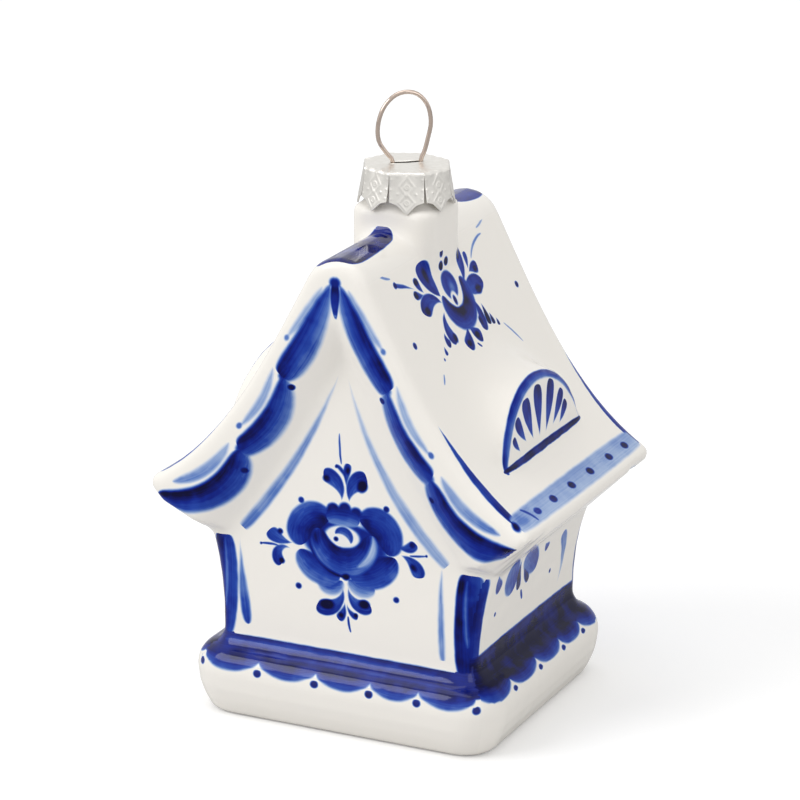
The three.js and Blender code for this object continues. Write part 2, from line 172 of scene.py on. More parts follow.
def evaluated_mesh(thing):
    """The object's mesh with its modifiers carried out."""
    graph = bpy.context.evaluated_depsgraph_get()
    return bpy.data.meshes.new_from_object(thing.evaluated_get(graph))


def merged_copy(node):
    """Working copy of a CAD node's mesh, with its loose triangles joined."""
    copy = bmesh.new()
    copy.from_mesh(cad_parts[node].data)
    bmesh.ops.remove_doubles(copy, verts=copy.verts, dist=MERGE * MM)
    return copy


def smooth(mesh):
    for polygon in mesh.polygons:
        polygon.use_smooth = True


def on_circle(centre, radius, angle):
    return centre[0] + radius * math.cos(angle), centre[1] + radius * math.sin(angle)


# Brushwork: each stroke of cobalt is a tapered arc, and each dab an ellipse

def make_stroke_group():
    tree, given, result = new_group("brush stroke", [
        ("Place", "Vector"), ("Depth", "Float"), ("Grain", "Vector"),
        ("Middle", "Vector"), ("Facing", "Vector"), ("Side", "Vector"),
        ("Radius", "Float"), ("Turn", "Float"), ("Width", "Float"),
        ("Tail", "Float"), ("Tip", "Float"),
        ("Hollow", "Float"), ("Back", "Float"), ("Run", "Float"),
        ("Soft", "Float"), ("Seed", "Float"),
    ], [("Depth", "Float"), ("Grain", "Vector")])
    place = vector_calc(tree, "SUBTRACT", given["Place"], given["Middle"])
    ahead = vector_calc(tree, "DOT_PRODUCT", place, given["Facing"])
    aside = vector_calc(tree, "DOT_PRODUCT", place, given["Side"])
    angle = calc(tree, "ARCTAN2", aside, ahead)
    along = calc(tree, "MULTIPLY_ADD", angle, given["Turn"], 0.5, clamp=True)
    reach = vector_calc(tree, "LENGTH", place)
    off = calc(tree, "SUBTRACT", reach, given["Radius"])
    rise = calc(tree, "POWER", along, given["Tail"])
    left = calc(tree, "SUBTRACT", 1.0, along)
    fall = calc(tree, "POWER", left, given["Tip"])
    width = calc(tree, "MULTIPLY", calc(tree, "MULTIPLY", rise, fall), given["Width"])
    edge = calc(tree, "SUBTRACT", width, calc(tree, "ABSOLUTE", off))
    mask = smooth_range(tree, edge, 0.0, given["Soft"])
    across = calc(tree, "DIVIDE", off, calc(tree, "MAXIMUM", width, 0.05))
    depth = smooth_range(tree, across, -0.9, 0.9, given["Hollow"], given["Back"])
    depth = calc(tree, "MULTIPLY_ADD", along, given["Run"], depth)
    feed(tree, result["Depth"], blend(tree, "FLOAT", mask, given["Depth"], depth))
    grain = joined(tree, calc(tree, "DIVIDE", along, given["Turn"]), off, given["Seed"])
    feed(tree, result["Grain"], blend(tree, "VECTOR", mask, given["Grain"], grain))
    return tree


def make_dab_group():
    tree, given, result = new_group("brush dab", [
        ("Place", "Vector"), ("Depth", "Float"), ("Middle", "Vector"),
        ("Facing", "Vector"), ("Side", "Vector"), ("Shade", "Float"), ("Soft", "Float"),
    ], [("Depth", "Float")])
    place = vector_calc(tree, "SUBTRACT", given["Place"], given["Middle"])
    ahead = vector_calc(tree, "DOT_PRODUCT", place, given["Facing"])
    aside = vector_calc(tree, "DOT_PRODUCT", place, given["Side"])
    reach = vector_calc(tree, "LENGTH", joined(tree, ahead, aside, 0.0))
    inside = calc(tree, "SUBTRACT", 1.0, reach)
    mask = smooth_range(tree, inside, 0.0, given["Soft"])
    feed(tree, result["Depth"], blend(tree, "FLOAT", mask, given["Depth"], given["Shade"]))
    return tree


STROKE = make_stroke_group()
DAB = make_dab_group()

# Kinds of stroke: how each swells, and its shade on the hollow side, on the back and as it runs
KINDS = {
    "petal": dict(tail=0.42, tip=0.42, hollow=0.88, back=0.44, run=0.0, soft=0.8),
    "leaf": dict(tail=1.1, tip=0.33, hollow=0.46, back=0.6, run=0.12, soft=0.5),
    "ray": dict(tail=1.1, tip=0.3, hollow=0.5, back=0.5, run=0.35, soft=0.4),
    "line": dict(tail=0.25, tip=0.25, hollow=0.62, back=0.62, run=0.0, soft=0.3),
    "fade": dict(tail=0.3, tip=1.2, hollow=0.6, back=0.5, run=-0.25, soft=0.4),
    "band": dict(tail=0.12, tip=0.12, hollow=0.8, back=0.8, run=0.0, soft=0.7),
    "swag": dict(tail=0.45, tip=0.16, hollow=0.8, back=0.3, run=0.16, soft=1.2),
    "light": dict(tail=0.4, tip=0.4, hollow=0.2, back=0.24, run=0.05, soft=0.9),
}


def stroke(kind, start, middle, end, width, **changes):
    """One stroke through three points of the sheet, which are unrolled millimetres."""
    return ("stroke", {**KINDS[kind], **changes}, start, middle, end, width)


def dab(middle, long, wide=None, turn=0.0, depth=0.86, soft=0.45):
    """One dab of the brush's point, turned in degrees from the first axis."""
    return ("dab", middle, long, wide or long, turn, depth, soft)


# Strokes with a darker back than this take more cobalt from a fuller brush
DARK_BACK = 0.38

# A flatter stroke than this is bowed by a share of its length, so that it has a centre
FLAT = 0.02
BOW = 0.004


def fuller(marks, more):
    """The same marks from a brush that carries more cobalt."""
    result = []
    for mark in marks:
        if mark[0] == "stroke" and mark[1]["back"] > DARK_BACK:
            kind = {**mark[1], "hollow": mark[1]["hollow"] + more, "back": mark[1]["back"] + more}
            mark = ("stroke", kind, *mark[2:])
        result.append(mark)
    return result


def arc_through(start, middle, end):
    """Centre, radius and half the angle of the arc from start through middle to end."""
    (ax, ay), (bx, by), (cx, cy) = start, middle, end
    twice = 2 * (ax * (by - cy) + bx * (cy - ay) + cx * (ay - by))
    if abs(twice) < FLAT:
        bx += BOW * (cy - ay)
        by -= BOW * (cx - ax)
        twice = 2 * (ax * (by - cy) + bx * (cy - ay) + cx * (ay - by))
    a2 = ax * ax + ay * ay
    b2 = bx * bx + by * by
    c2 = cx * cx + cy * cy
    x = (a2 * (by - cy) + b2 * (cy - ay) + c2 * (ay - by)) / twice
    y = (a2 * (cx - bx) + b2 * (ax - cx) + c2 * (bx - ax)) / twice
    first = math.atan2(ay - y, ax - x)
    way = 1 if twice > 0 else -1
    turn = (way * (math.atan2(cy - y, cx - x) - first)) % (2 * math.pi)
    return (x, y), math.hypot(ax - x, ay - y), first + way * turn / 2, turn / 2, way


def lay_stroke(tree, place, depth, grain, mark, seed):
    _, kind, start, middle, end, width = mark
    centre, radius, facing, half, way = arc_through(start, middle, end)
    tail = kind["tail"]
    tip = kind["tip"]
    peak = (tail / (tail + tip)) ** tail * (tip / (tail + tip)) ** tip
    node = put(tree, "ShaderNodeGroup", node_tree=STROKE)
    values = {
        "Place": place, "Depth": depth, "Grain": grain,
        "Middle": (*centre, 0), "Facing": (math.cos(facing), math.sin(facing), 0),
        "Side": (-way * math.sin(facing), way * math.cos(facing), 0),
        "Radius": radius, "Turn": 0.5 / half, "Width": (width + kind["soft"] * 0.4) / peak,
        "Tail": tail, "Tip": tip, "Hollow": kind["hollow"], "Back": kind["back"],
        "Run": kind["run"], "Soft": kind["soft"], "Seed": seed * 3.7,
    }
    for name, value in values.items():
        feed(tree, node.inputs[name], value)
    return node.outputs["Depth"], node.outputs["Grain"]


def lay_dab(tree, place, depth, mark):
    _, middle, long, wide, turn, darkness, soft = mark
    angle = math.radians(turn)
    node = put(tree, "ShaderNodeGroup", node_tree=DAB)
    values = {
        "Place": place, "Depth": depth, "Middle": (*middle, 0),
        "Facing": (math.cos(angle) / long, math.sin(angle) / long, 0),
        "Side": (-math.sin(angle) / wide, math.cos(angle) / wide, 0),
        "Shade": darkness, "Soft": min(0.95, soft / min(long, wide)),
    }
    for name, value in values.items():
        feed(tree, node.inputs[name], value)
    return node.outputs["Depth"]


# Cobalt from bare glaze to the thickest pool of colour
COBALT = [
    (0.0, shade(247, 243, 236)),
    (0.08, shade(218, 224, 236)),
    (0.2, shade(166, 187, 222)),
    (0.36, shade(93, 127, 196)),
    (0.54, shade(38, 72, 170)),
    (0.72, shade(15, 38, 140)),
    (0.88, shade(10, 19, 98)),
    (1.0, shade(8, 8, 52)),
]


# Share of the gloss: plain glaze, and where the cobalt lies in a thick, glassy pool
GLAZE_GLOSS = 0.09
POOLED_GLOSS = {"ridge": 0.34, "plinth": 0.3}

# How far a hand wobbles, in millimetres, and how much the bristles' streaks show
HAND_WOBBLE = 0.3
STREAKS = 0.7
STREAK_ACROSS = 2.6
STREAK_ALONG = 1.6


def glazed_porcelain(name, marks, gloss=GLAZE_GLOSS):
    """Clear glaze over white porcelain, with the brushwork of one face of the house."""
    material, tree, shader = new_material(name)
    shader["Roughness"].default_value = 0.07
    shader["IOR"].default_value = 1.5
    shader["Specular IOR Level"].default_value = gloss
    here = put(tree, "ShaderNodeTexCoord").outputs["Object"]
    bump = put(tree, "ShaderNodeBump")
    bump.inputs["Strength"].default_value = 0.12
    bump.inputs["Distance"].default_value = 0.0006
    feed(tree, bump.inputs["Height"], noise(tree, here, 190, 1.0)["Fac"])
    feed(tree, shader["Normal"], bump.outputs["Normal"])
    if not marks:
        cloud = noise(tree, here, 45, 3.0)["Fac"]
        tint = blend(tree, "RGBA", cloud, shade(245, 241, 234), shade(248, 244, 237))
        feed(tree, shader["Base Color"], tint)
        return material
    sheet = put(tree, "ShaderNodeAttribute", attribute_name="paint").outputs["Vector"]
    sway = vector_calc(tree, "SUBTRACT", noise(tree, here, 300, 2.0)["Color"], (0.5, 0.5, 0.5))
    place = vector_calc(tree, "MULTIPLY_ADD", sway, (HAND_WOBBLE, HAND_WOBBLE, 0.0), sheet)
    depth = 0.0
    grain = (0.0, 0.0, 0.0)
    for seed, mark in enumerate(marks):
        if mark[0] == "stroke":
            depth, grain = lay_stroke(tree, place, depth, grain, mark, seed)
        else:
            depth = lay_dab(tree, place, depth, mark)
    combed = vector_calc(tree, "MULTIPLY", grain, (STREAK_ALONG, STREAK_ACROSS, 1.0))
    swing = calc(tree, "SUBTRACT", noise(tree, combed, 1.0, 2.5)["Fac"], 0.5)
    streaked = calc(tree, "MULTIPLY", depth, STREAKS)
    body = calc(tree, "MULTIPLY", streaked, calc(tree, "SUBTRACT", 1.25, depth))
    depth = calc(tree, "MULTIPLY_ADD", swing, body, depth)
    pool = noise(tree, here, 260, 2.0)["Fac"]
    depth = calc(tree, "MULTIPLY", depth, smooth_range(tree, pool, 0.3, 0.7, 0.88, 1.1))
    ramp = put(tree, "ShaderNodeValToRGB")
    stops = ramp.color_ramp.elements
    stops[0].color = COBALT[0][1]
    stops[1].color = COBALT[-1][1]
    for position, tone in COBALT[1:-1]:
        stops.new(position).color = tone
    feed(tree, ramp.inputs[0], depth)
    feed(tree, shader["Base Color"], ramp.outputs[0])
    return material


# Each face is cut into tiles, so that no material has more strokes than it shows
FAR = 1000


def reach_of(mark):
    """Lowest and highest corner of what a mark covers, with room for the wobble."""
    if mark[0] == "dab":
        spots = [mark[1]]
        margin = max(mark[2], mark[3]) + 0.9
    else:
        centre, radius, facing, half, _ = arc_through(*mark[2:5])
        turns = [facing + half * step / 6 for step in range(-6, 7)]
        spots = [on_circle(centre, radius, turn) for turn in turns]
        margin = mark[5] + 1.4
    across, up = zip(*spots)
    return min(across) - margin, min(up) - margin, max(across) + margin, max(up) + margin


def cut_tiles(marks, across_cuts, up_cuts):
    """Marks of every tile, row by row from the foot of the sheet."""
    reaches = [reach_of(mark) for mark in marks]
    across_ends = [-FAR, *across_cuts, FAR]
    up_ends = [-FAR, *up_cuts, FAR]
    tiles = []
    for low, high in zip(up_ends, up_ends[1:]):
        for first, last in zip(across_ends, across_ends[1:]):
            tiles.append([
                mark for mark, (x0, y0, x1, y1) in zip(marks, reaches)
                if x0 < last and x1 > first and y0 < high and y1 > low
            ])
    return tiles


# Gable panel, in millimetres across and up from the table
PANEL = [
    stroke("fade", (-20.2, 36.0), (-9.4, 50.9), (-1.2, 67.6), 1.05,
           tail=0.1, tip=0.6, hollow=0.3, back=0.42, run=-0.1, soft=0.9),
    stroke("fade", (20.0, 35.0), (8.6, 48.4), (0.5, 67.2), 1.1,
           tail=0.1, tip=0.6, hollow=0.24, back=0.3, run=-0.05, soft=0.9),
    stroke("ray", (-20.9, 35.0), (-20.3, 26.0), (-19.2, 17.5), 1.0,
           hollow=0.25, back=0.3, run=0.3, soft=0.8),
    stroke("band", (19.1, 34.4), (19.0, 25.0), (19.5, 17.1), 0.65,
           hollow=0.28, back=0.36, tail=0.4, soft=0.8),
    stroke("band", (-24.4, 34.0), (-23.8, 25.0), (-24.6, 14.5), 2.6, hollow=0.95, back=0.62),
    stroke("band", (24.6, 34.0), (24.2, 25.0), (24.6, 14.5), 2.6, hollow=0.62, back=0.95),
    stroke("line", (-24.0, 33.5), (-23.6, 27.0), (-24.0, 20.0), 0.5, hollow=0.45, back=0.5, soft=0.8),
    stroke("line", (24.0, 33.0), (23.6, 27.0), (24.0, 20.0), 0.5, hollow=0.45, back=0.5, soft=0.8),
    stroke("band", (-27.0, 14.6), (0.0, 14.65), (27.0, 14.6), 0.8, hollow=0.9, back=0.9),
    stroke("line", (-0.7, 50.8), (-1.0, 53.7), (-1.1, 56.6), 0.22),
    stroke("line", (0.8, 22.4), (1.0, 20.9), (1.4, 19.4), 0.25),
    stroke("leaf", (-0.7, 43.8), (-1.3, 47.0), (-4.3, 48.6), 1.5),
    stroke("leaf", (0.9, 43.8), (1.5, 46.8), (4.3, 49.0), 1.75),
    stroke("leaf", (0.1, 46.2), (-0.5, 49.6), (-1.9, 50.6), 0.4),
    stroke("leaf", (0.3, 46.6), (0.35, 48.8), (0.7, 51.2), 0.75),
    dab((-3.6, 47.8), 1.05, 0.95, depth=0.98, soft=0.7),
    dab((3.4, 47.3), 1.6, 1.3, 60, depth=1.0, soft=0.7),
    dab((0.6, 49.9), 1.1, 0.65, 85, depth=0.98, soft=0.6),
    dab((-1.7, 50.3), 0.45, depth=0.8),
    stroke("line", (-13.0, 33.6), (-15.0, 33.7), (-16.7, 33.5), 0.25),
    stroke("leaf", (-9.9, 34.7), (-12.6, 34.9), (-15.0, 36.4), 1.4, tail=1.3),
    stroke("leaf", (-10.4, 33.3), (-13.2, 32.4), (-12.4, 30.3), 1.15, tail=1.2),
    dab((-12.7, 36.4), 0.8, depth=0.96, soft=0.6),
    dab((-12.4, 30.9), 0.8, depth=0.96, soft=0.6),
    dab((-16.6, 33.5), 0.4, depth=0.88),
    stroke("line", (12.7, 35.9), (14.4, 36.0), (16.0, 36.3), 0.22),
    stroke("leaf", (10.1, 37.3), (12.0, 37.1), (14.0, 38.2), 1.0),
    stroke("leaf", (10.8, 35.7), (13.3, 34.6), (14.8, 31.9), 1.35, tail=1.1),
    dab((13.3, 37.9), 0.85, depth=0.96, soft=0.6),
    dab((13.6, 33.7), 1.3, 0.75, -55, depth=0.98, soft=0.6),
    dab((16.0, 36.3), 0.4, depth=0.88),
    stroke("leaf", (-0.5, 28.4), (-1.0, 24.9), (-5.4, 23.6), 1.55, tail=1.3),
    stroke("leaf", (0.9, 28.4), (1.9, 25.4), (5.4, 24.9), 1.4, tail=1.3),
    stroke("leaf", (0.1, 25.6), (0.0, 23.6), (-1.1, 21.5), 0.85, tail=1.5),
    stroke("leaf", (0.6, 25.4), (1.2, 23.3), (2.8, 22.4), 0.6, tail=1.5),
    dab((-3.4, 24.0), 2.0, 1.3, 5, depth=1.0, soft=0.8),
    dab((4.0, 25.2), 1.5, 1.15, depth=1.0, soft=0.7),
    dab((-0.6, 22.4), 0.75, 0.8, depth=0.98, soft=0.6),
    dab((2.4, 22.8), 0.6, depth=0.95),
    dab((0.1, 35.9), 9.2, 4.6, -2, depth=0.8, soft=1.0),
    dab((0.2, 32.2), 6.4, 2.9, depth=0.78, soft=1.0),
    stroke("petal", (-5.0, 28.6), (-3.0, 27.3), (-0.4, 29.0), 1.5, hollow=0.75, back=0.22),
    stroke("petal", (6.1, 28.3), (3.6, 27.9), (0.9, 29.4), 1.6, hollow=0.75, back=0.24),
    stroke("petal", (-8.9, 33.7), (-6.7, 31.0), (-0.8, 29.7), 2.5, hollow=0.82, back=0.42),
    stroke("petal", (9.9, 34.9), (7.2, 31.9), (1.2, 30.2), 2.8, hollow=0.92, back=0.54),
    stroke("petal", (-2.9, 40.3), (-7.5, 39.4), (-8.5, 34.5), 3.1, hollow=0.92, back=0.54),
    stroke("petal", (3.0, 40.8), (7.6, 40.1), (8.5, 35.3), 3.1, hollow=0.9, back=0.6),
    dab((-4.6, 39.8), 2.0, 1.6, 40, depth=1.0, soft=1.5),
    dab((4.2, 40.6), 2.0, 1.5, -50, depth=0.96, soft=1.4),
    dab((-2.3, 42.2), 1.6, depth=0.86, soft=0.8),
    dab((0.0, 42.6), 1.6, depth=0.82, soft=0.8),
    dab((2.2, 42.1), 1.5, depth=0.86, soft=0.8),
    stroke("petal", (-3.6, 40.4), (-0.4, 41.0), (2.9, 40.3), 1.8, hollow=0.34, back=0.76, tail=0.3, tip=0.3),
    stroke("line", (-6.9, 36.0), (-4.7, 31.9), (0.0, 29.8), 0.5, hollow=0.9, back=0.9, soft=0.5),
    stroke("light", (-5.9, 36.2), (-3.7, 32.2), (-0.3, 30.7), 0.4, hollow=0.3, back=0.3),
    dab((-0.4, 37.3), 4.1, 2.4, 0, depth=0.02, soft=0.7),
    stroke("petal", (-5.0, 38.2), (-0.2, 32.5), (5.0, 38.4), 2.5, hollow=0.92, back=0.46, tail=0.3, tip=0.3),
    stroke("light", (5.5, 38.4), (5.2, 34.6), (2.4, 31.9), 0.75, hollow=0.18, back=0.22),
    dab((-5.7, 36.2), 1.3, 2.6, 8, depth=0.88, soft=1.4),
    stroke("line", (-1.9, 37.6), (0.2, 38.3), (1.2, 36.2), 0.8,
           tail=0.6, tip=0.6, hollow=0.45, back=0.75, soft=0.5),
    dab((-1.7, 36.7), 0.65, depth=0.88, soft=0.5),
    dab((0.35, 29.8), 1.1, 0.9, depth=0.96, soft=0.6),
]
for corner in ((-8.6, 43.0), (8.15, 43.8), (-9.1, 26.6), (10.3, 27.1)):
    PANEL.append(dab(corner, 0.8, depth=0.8, soft=0.5))

# Barge bands and coves, in millimetres out from the middle and up from the table
BARGE = [
    stroke("light", (2.4, 84.6), (6.1, 78.6), (9.3, 74.4), 0.8),
    stroke("light", (12.0, 68.6), (14.7, 61.4), (18.6, 56.7), 0.8),
    stroke("light", (20.6, 53.4), (25.3, 47.6), (32.2, 44.2), 1.1, run=0.15),
    dab((9.3, 74.3), 0.9, 0.7, -60, depth=0.42, soft=0.5),
    dab((18.7, 56.8), 0.95, 0.75, -55, depth=0.42, soft=0.5),
    dab((30.3, 45.0), 1.0, 0.6, -20, depth=0.36, soft=0.5),
    stroke("swag", (18.4, 52.2), (23.7, 43.3), (35.4, 41.5), 2.7, tail=0.3, tip=0.4, hollow=0.9, back=0.44),
    dab((33.6, 41.6), 1.7, 0.8, -8, depth=0.95, soft=0.8),
    stroke("swag", (9.8, 67.2), (12.4, 58.4), (18.6, 52.2), 2.45, tail=0.35),
    stroke("swag", (0.9, 85.2), (4.9, 75.2), (10.2, 67.0), 2.5),
    dab((10.1, 67.4), 1.5, 1.1, -55, depth=0.8, soft=1.0),
    dab((18.5, 52.7), 1.6, 1.1, -50, depth=0.8, soft=1.0),
    stroke("ray", (0.0, 78.4), (0.1, 81.9), (0.0, 85.4), 0.8, hollow=0.6, back=0.6, tail=0.7),
    dab((0.0, 85.5), 1.45, 1.35, depth=0.78, soft=0.9),
    dab((8.8, 65.0), 0.8, depth=0.9),
    dab((18.3, 48.0), 0.8, depth=0.9),
]

# Roof slope, in millimetres along the ridge and up the slope from the eave
ROOF = [
    stroke("ray", (-27.5, 25.0), (-27.1, 12.0), (-26.9, 1.6), 1.0, tail=0.8, hollow=0.42, back=0.5, run=0.2),
    stroke("ray", (27.5, 24.0), (27.1, 12.0), (26.9, 1.0), 1.0, tail=0.8, hollow=0.42, back=0.5, run=0.2),
    stroke("band", (-27.4, 2.5), (0.0, 2.45), (27.0, 2.5), 2.35,
           hollow=0.27, back=0.22, tail=0.05, tip=0.05, soft=0.8),
    dab((-24.8, 2.6), 3.0, 2.0, depth=0.4, soft=1.6),
    stroke("line", (-22.6, 4.4), (-21.0, 2.6), (-20.7, 0.8), 0.35, hollow=0.5, back=0.5, soft=0.5),
    dab((-27.6, 2.4), 1.5, 1.0, 70, depth=0.95, soft=0.7),
    dab((-18.4, 2.4), 1.35, 0.95, depth=0.72),
    *[dab((along, 2.4), 1.4, 1.0, depth=0.9) for along in (-11.2, -2.8, 5.9, 15.0, 22.5)],
    stroke("fade", (-19.7, 49.5), (-16.6, 48.4), (-12.6, 46.6), 0.45, tail=0.2),
    stroke("line", (-24.6, 52.9), (-22.6, 51.7), (-20.3, 50.9), 0.3, hollow=0.35, back=0.35),
    stroke("leaf", (-10.9, 45.5), (-11.8, 46.7), (-12.5, 48.6), 0.9, tail=1.3),
    stroke("leaf", (-11.2, 45.5), (-12.8, 45.7), (-14.6, 46.2), 0.8, tail=1.3),
    dab((-12.4, 48.2), 1.1, 0.9, depth=0.98),
    dab((-14.2, 46.1), 0.95, depth=0.98),
    dab((-19.7, 49.5), 0.8, depth=0.95),
    stroke("leaf", (-6.0, 43.6), (-7.7, 46.8), (-8.9, 50.9), 2.4, tail=0.9),
    stroke("leaf", (-6.4, 42.3), (-10.0, 44.0), (-13.9, 42.1), 1.8),
    dab((-8.2, 48.3), 2.1, 1.2, 105, depth=1.0, soft=0.8),
    dab((-12.7, 42.6), 1.3, 1.1, depth=1.0, soft=0.6),
    stroke("line", (10.3, 46.8), (13.5, 49.0), (17.9, 49.9), 0.3, hollow=0.35, back=0.35),
    stroke("line", (16.9, 51.2), (19.0, 51.6), (21.0, 52.3), 0.25, hollow=0.3, back=0.3),
    stroke("leaf", (3.9, 43.4), (5.4, 46.0), (5.9, 49.9), 1.35),
    stroke("leaf", (7.4, 45.2), (8.2, 46.8), (8.6, 48.6), 0.7),
    stroke("leaf", (7.2, 44.9), (9.4, 45.2), (11.4, 45.0), 1.2),
    stroke("leaf", (4.2, 42.3), (7.6, 42.5), (10.9, 42.0), 1.9, tail=0.5, tip=0.5),
    dab((5.5, 48.6), 1.2, 0.8, 95, depth=1.0, soft=0.6),
    dab((10.1, 44.9), 0.95, 0.8, depth=0.98),
    dab((8.2, 41.4), 1.6, 1.25, depth=1.0, soft=0.7),
    stroke("leaf", (-7.0, 41.2), (-8.8, 38.0), (-7.7, 35.3), 1.3),
    stroke("leaf", (-10.4, 38.0), (-10.8, 36.5), (-10.2, 35.2), 0.8),
    stroke("leaf", (-12.7, 36.0), (-12.9, 35.0), (-12.9, 34.0), 0.5),
    dab((-14.6, 33.7), 0.4),
    stroke("line", (-17.2, 31.6), (-18.0, 30.7), (-18.8, 29.9), 0.25, hollow=0.35, back=0.35),
    dab((-7.6, 36.0), 1.0, 1.2, depth=0.98, soft=0.6),
    stroke("leaf", (-2.0, 36.9), (-3.0, 35.0), (-5.2, 33.2), 1.4),
    stroke("leaf", (-1.3, 36.9), (-0.4, 35.2), (1.2, 33.6), 1.4),
    dab((-4.1, 33.9), 1.1, 0.9, depth=1.0, soft=0.6),
    dab((0.0, 34.5), 1.1, 0.9, depth=1.0, soft=0.6),
    stroke("line", (-1.8, 33.2), (-1.5, 32.7), (-1.2, 32.2), 0.3),
    stroke("leaf", (4.0, 41.0), (4.9, 37.5), (3.5, 34.4), 1.15),
    dab((3.8, 36.2), 0.9, 1.2, depth=1.0, soft=0.6),
    stroke("leaf", (6.6, 39.2), (6.7, 37.0), (6.3, 34.8), 0.8, hollow=0.8, back=0.8),
    stroke("leaf", (7.9, 37.0), (8.0, 35.7), (7.9, 34.4), 0.6, hollow=0.7, back=0.7),
    stroke("leaf", (9.4, 35.5), (9.5, 34.6), (9.4, 33.7), 0.45, hollow=0.7, back=0.7),
    stroke("line", (11.2, 33.7), (13.0, 31.5), (14.7, 28.8), 0.25, hollow=0.35, back=0.35),
    dab((-1.3, 44.7), 3.0, 3.0, depth=0.7, soft=0.7),
    dab((-0.7, 44.2), 1.7, 2.3, depth=0.42, soft=1.6),
    stroke("petal", (-5.3, 43.7), (-1.5, 38.2), (3.1, 45.2), 2.3, hollow=0.94, back=0.5),
    dab((-1.5, 42.0), 1.6, 1.9, depth=0.02, soft=0.6),
    dab((-1.6, 41.8), 0.8, 1.3, depth=0.85, soft=0.5),
    dab((-2.2, 48.5), 1.1, 0.95, depth=1.0),
    dab((0.0, 48.8), 1.05, 0.9, depth=1.0),
    dab((-2.0, 50.5), 0.9, 0.85, depth=0.98),
    dab((-22.1, 38.6), 0.8),
    dab((22.5, 38.4), 0.8),
]

# Top of the ridge, in millimetres along it and over it from the right eave
RIDGE_TOP = 59.33
RIDGE = [
    stroke("band", (-28.2, RIDGE_TOP + 0.9), (-18.0, RIDGE_TOP + 1.1), (-8.2, RIDGE_TOP + 0.3), 4.5,
           hollow=0.9, back=0.76, tip=0.3, soft=0.4),
    stroke("band", (17.5, RIDGE_TOP + 0.3), (23.0, RIDGE_TOP + 0.8), (28.2, RIDGE_TOP + 0.9), 4.3,
           hollow=0.76, back=0.9, tail=0.3, soft=0.4),
]

# Eyebrow window, in millimetres along the roof and up from the table
WINDOW = [
    stroke("line", (-16.9, 50.9), (0.2, 64.3), (17.1, 51.4), 1.2,
           hollow=0.4, back=0.78, tail=0.2, tip=0.5, soft=0.6),
    stroke("ray", (-9.9, 53.0), (-11.3, 54.5), (-12.5, 56.1), 0.8),
    stroke("ray", (-6.9, 54.0), (-8.8, 56.4), (-10.4, 59.0), 1.3),
    stroke("ray", (-3.9, 53.5), (-5.1, 57.4), (-5.8, 61.5), 1.8),
    stroke("ray", (-1.2, 53.2), (-0.6, 58.1), (0.2, 62.6), 1.8),
    stroke("ray", (1.3, 53.2), (4.1, 57.6), (6.3, 62.0), 1.6),
    stroke("ray", (4.6, 53.6), (7.7, 56.2), (10.4, 59.0), 1.2),
    stroke("ray", (7.5, 53.2), (9.7, 54.8), (11.7, 56.5), 1.0),
    stroke("line", (-17.8, 51.5), (-0.5, 51.7), (17.6, 51.8), 0.65, hollow=0.88, back=0.88),
]

# Side wall, in millimetres across and up from the table
SIDE = [
    stroke("band", (-24.0, 33.2), (-23.8, 25.0), (-24.0, 14.5), 2.4, hollow=0.95, back=0.7),
    stroke("band", (24.0, 33.2), (23.8, 25.0), (24.0, 14.5), 2.4, hollow=0.7, back=0.95),
    stroke("band", (-27.0, 16.3), (0.0, 16.35), (27.0, 16.3), 2.0, hollow=0.9, back=0.9),
    stroke("fade", (11.5, 31.0), (15.0, 25.0), (13.5, 19.5), 1.2, hollow=0.4, back=0.4),
    stroke("line", (-4.5, 25.0), (-3.8, 23.8), (-3.3, 22.8), 0.4),
    stroke("leaf", (-19.5, 33.2), (-18.0, 30.8), (-16.0, 28.9), 1.2),
    stroke("petal", (-12.5, 33.5), (-11.0, 29.5), (-9.0, 26.0), 2.8, hollow=0.62, back=0.42),
    stroke("petal", (-7.0, 33.0), (-3.0, 30.5), (1.0, 27.5), 2.5, hollow=0.42, back=0.66),
    stroke("leaf", (-9.0, 33.0), (-7.6, 29.2), (-5.8, 25.6), 0.9, hollow=0.85, back=0.85),
    stroke("leaf", (-6.0, 30.2), (-3.8, 27.8), (-1.6, 25.9), 0.8, hollow=0.85, back=0.85),
    stroke("leaf", (2.5, 32.0), (3.8, 31.0), (5.0, 30.3), 0.9),
    dab((-15.8, 24.0), 0.6),
    dab((9.35, 24.1), 0.6),
]

# Plinth, in millimetres round it from the middle of a side and up its profile from the foot
CUSPS = [-28.0, -15.5, -4.0, 6.8, 16.2, 27.7]
SCALLOPS = []
for left, right in zip(CUSPS, CUSPS[1:]):
    across = (left + right) / 2
    SCALLOPS.append(stroke("petal", (left, 13.2), (across, 11.9), (right, 13.2), 1.8, hollow=0.9, back=0.5))
for cusp in CUSPS:
    SCALLOPS.append(dab((cusp, 10.5), 1.0, 0.9))


def plinth_band(load_and_painted_light):
    """Broad band in the plinth's cove, evenly loaded across: its load is cobalt together with painted light,
    lighter on the front and darker on the sides.
    """
    places = (-36.0, 18.2), (0.0, 18.25), (36.0, 18.2)
    return stroke("band", *places, 5.4, hollow=load_and_painted_light, back=load_and_painted_light, tail=0.02, tip=0.02)


# The front's band is loaded lighter than the sides': painted light where the front catches more of the lamps
PLINTH_WITH_PAINTED_HIGHLIGHTS = [
    plinth_band(0.84),
    # Three lighter streaks along the front cove: painted highlights, standing for the lamps' reflection in
    # the glaze
    stroke("line", (-27.0, 20.4), (0.0, 20.5), (26.0, 20.4), 0.5, hollow=0.4, back=0.5, soft=0.9),
    stroke("line", (-25.0, 17.0), (-3.0, 17.3), (20.0, 16.8), 0.9, hollow=0.52, back=0.66, soft=1.4),
    stroke("line", (-18.0, 15.0), (2.0, 15.2), (24.0, 14.8), 0.5, hollow=0.6, back=0.7, soft=1.0),
    *SCALLOPS,
]
# The sides' band is loaded darker than the front's: painted shade where the sides catch less light
PLINTH_SIDE_WITH_PAINTED_SHADE = [plinth_band(0.96), *SCALLOPS]


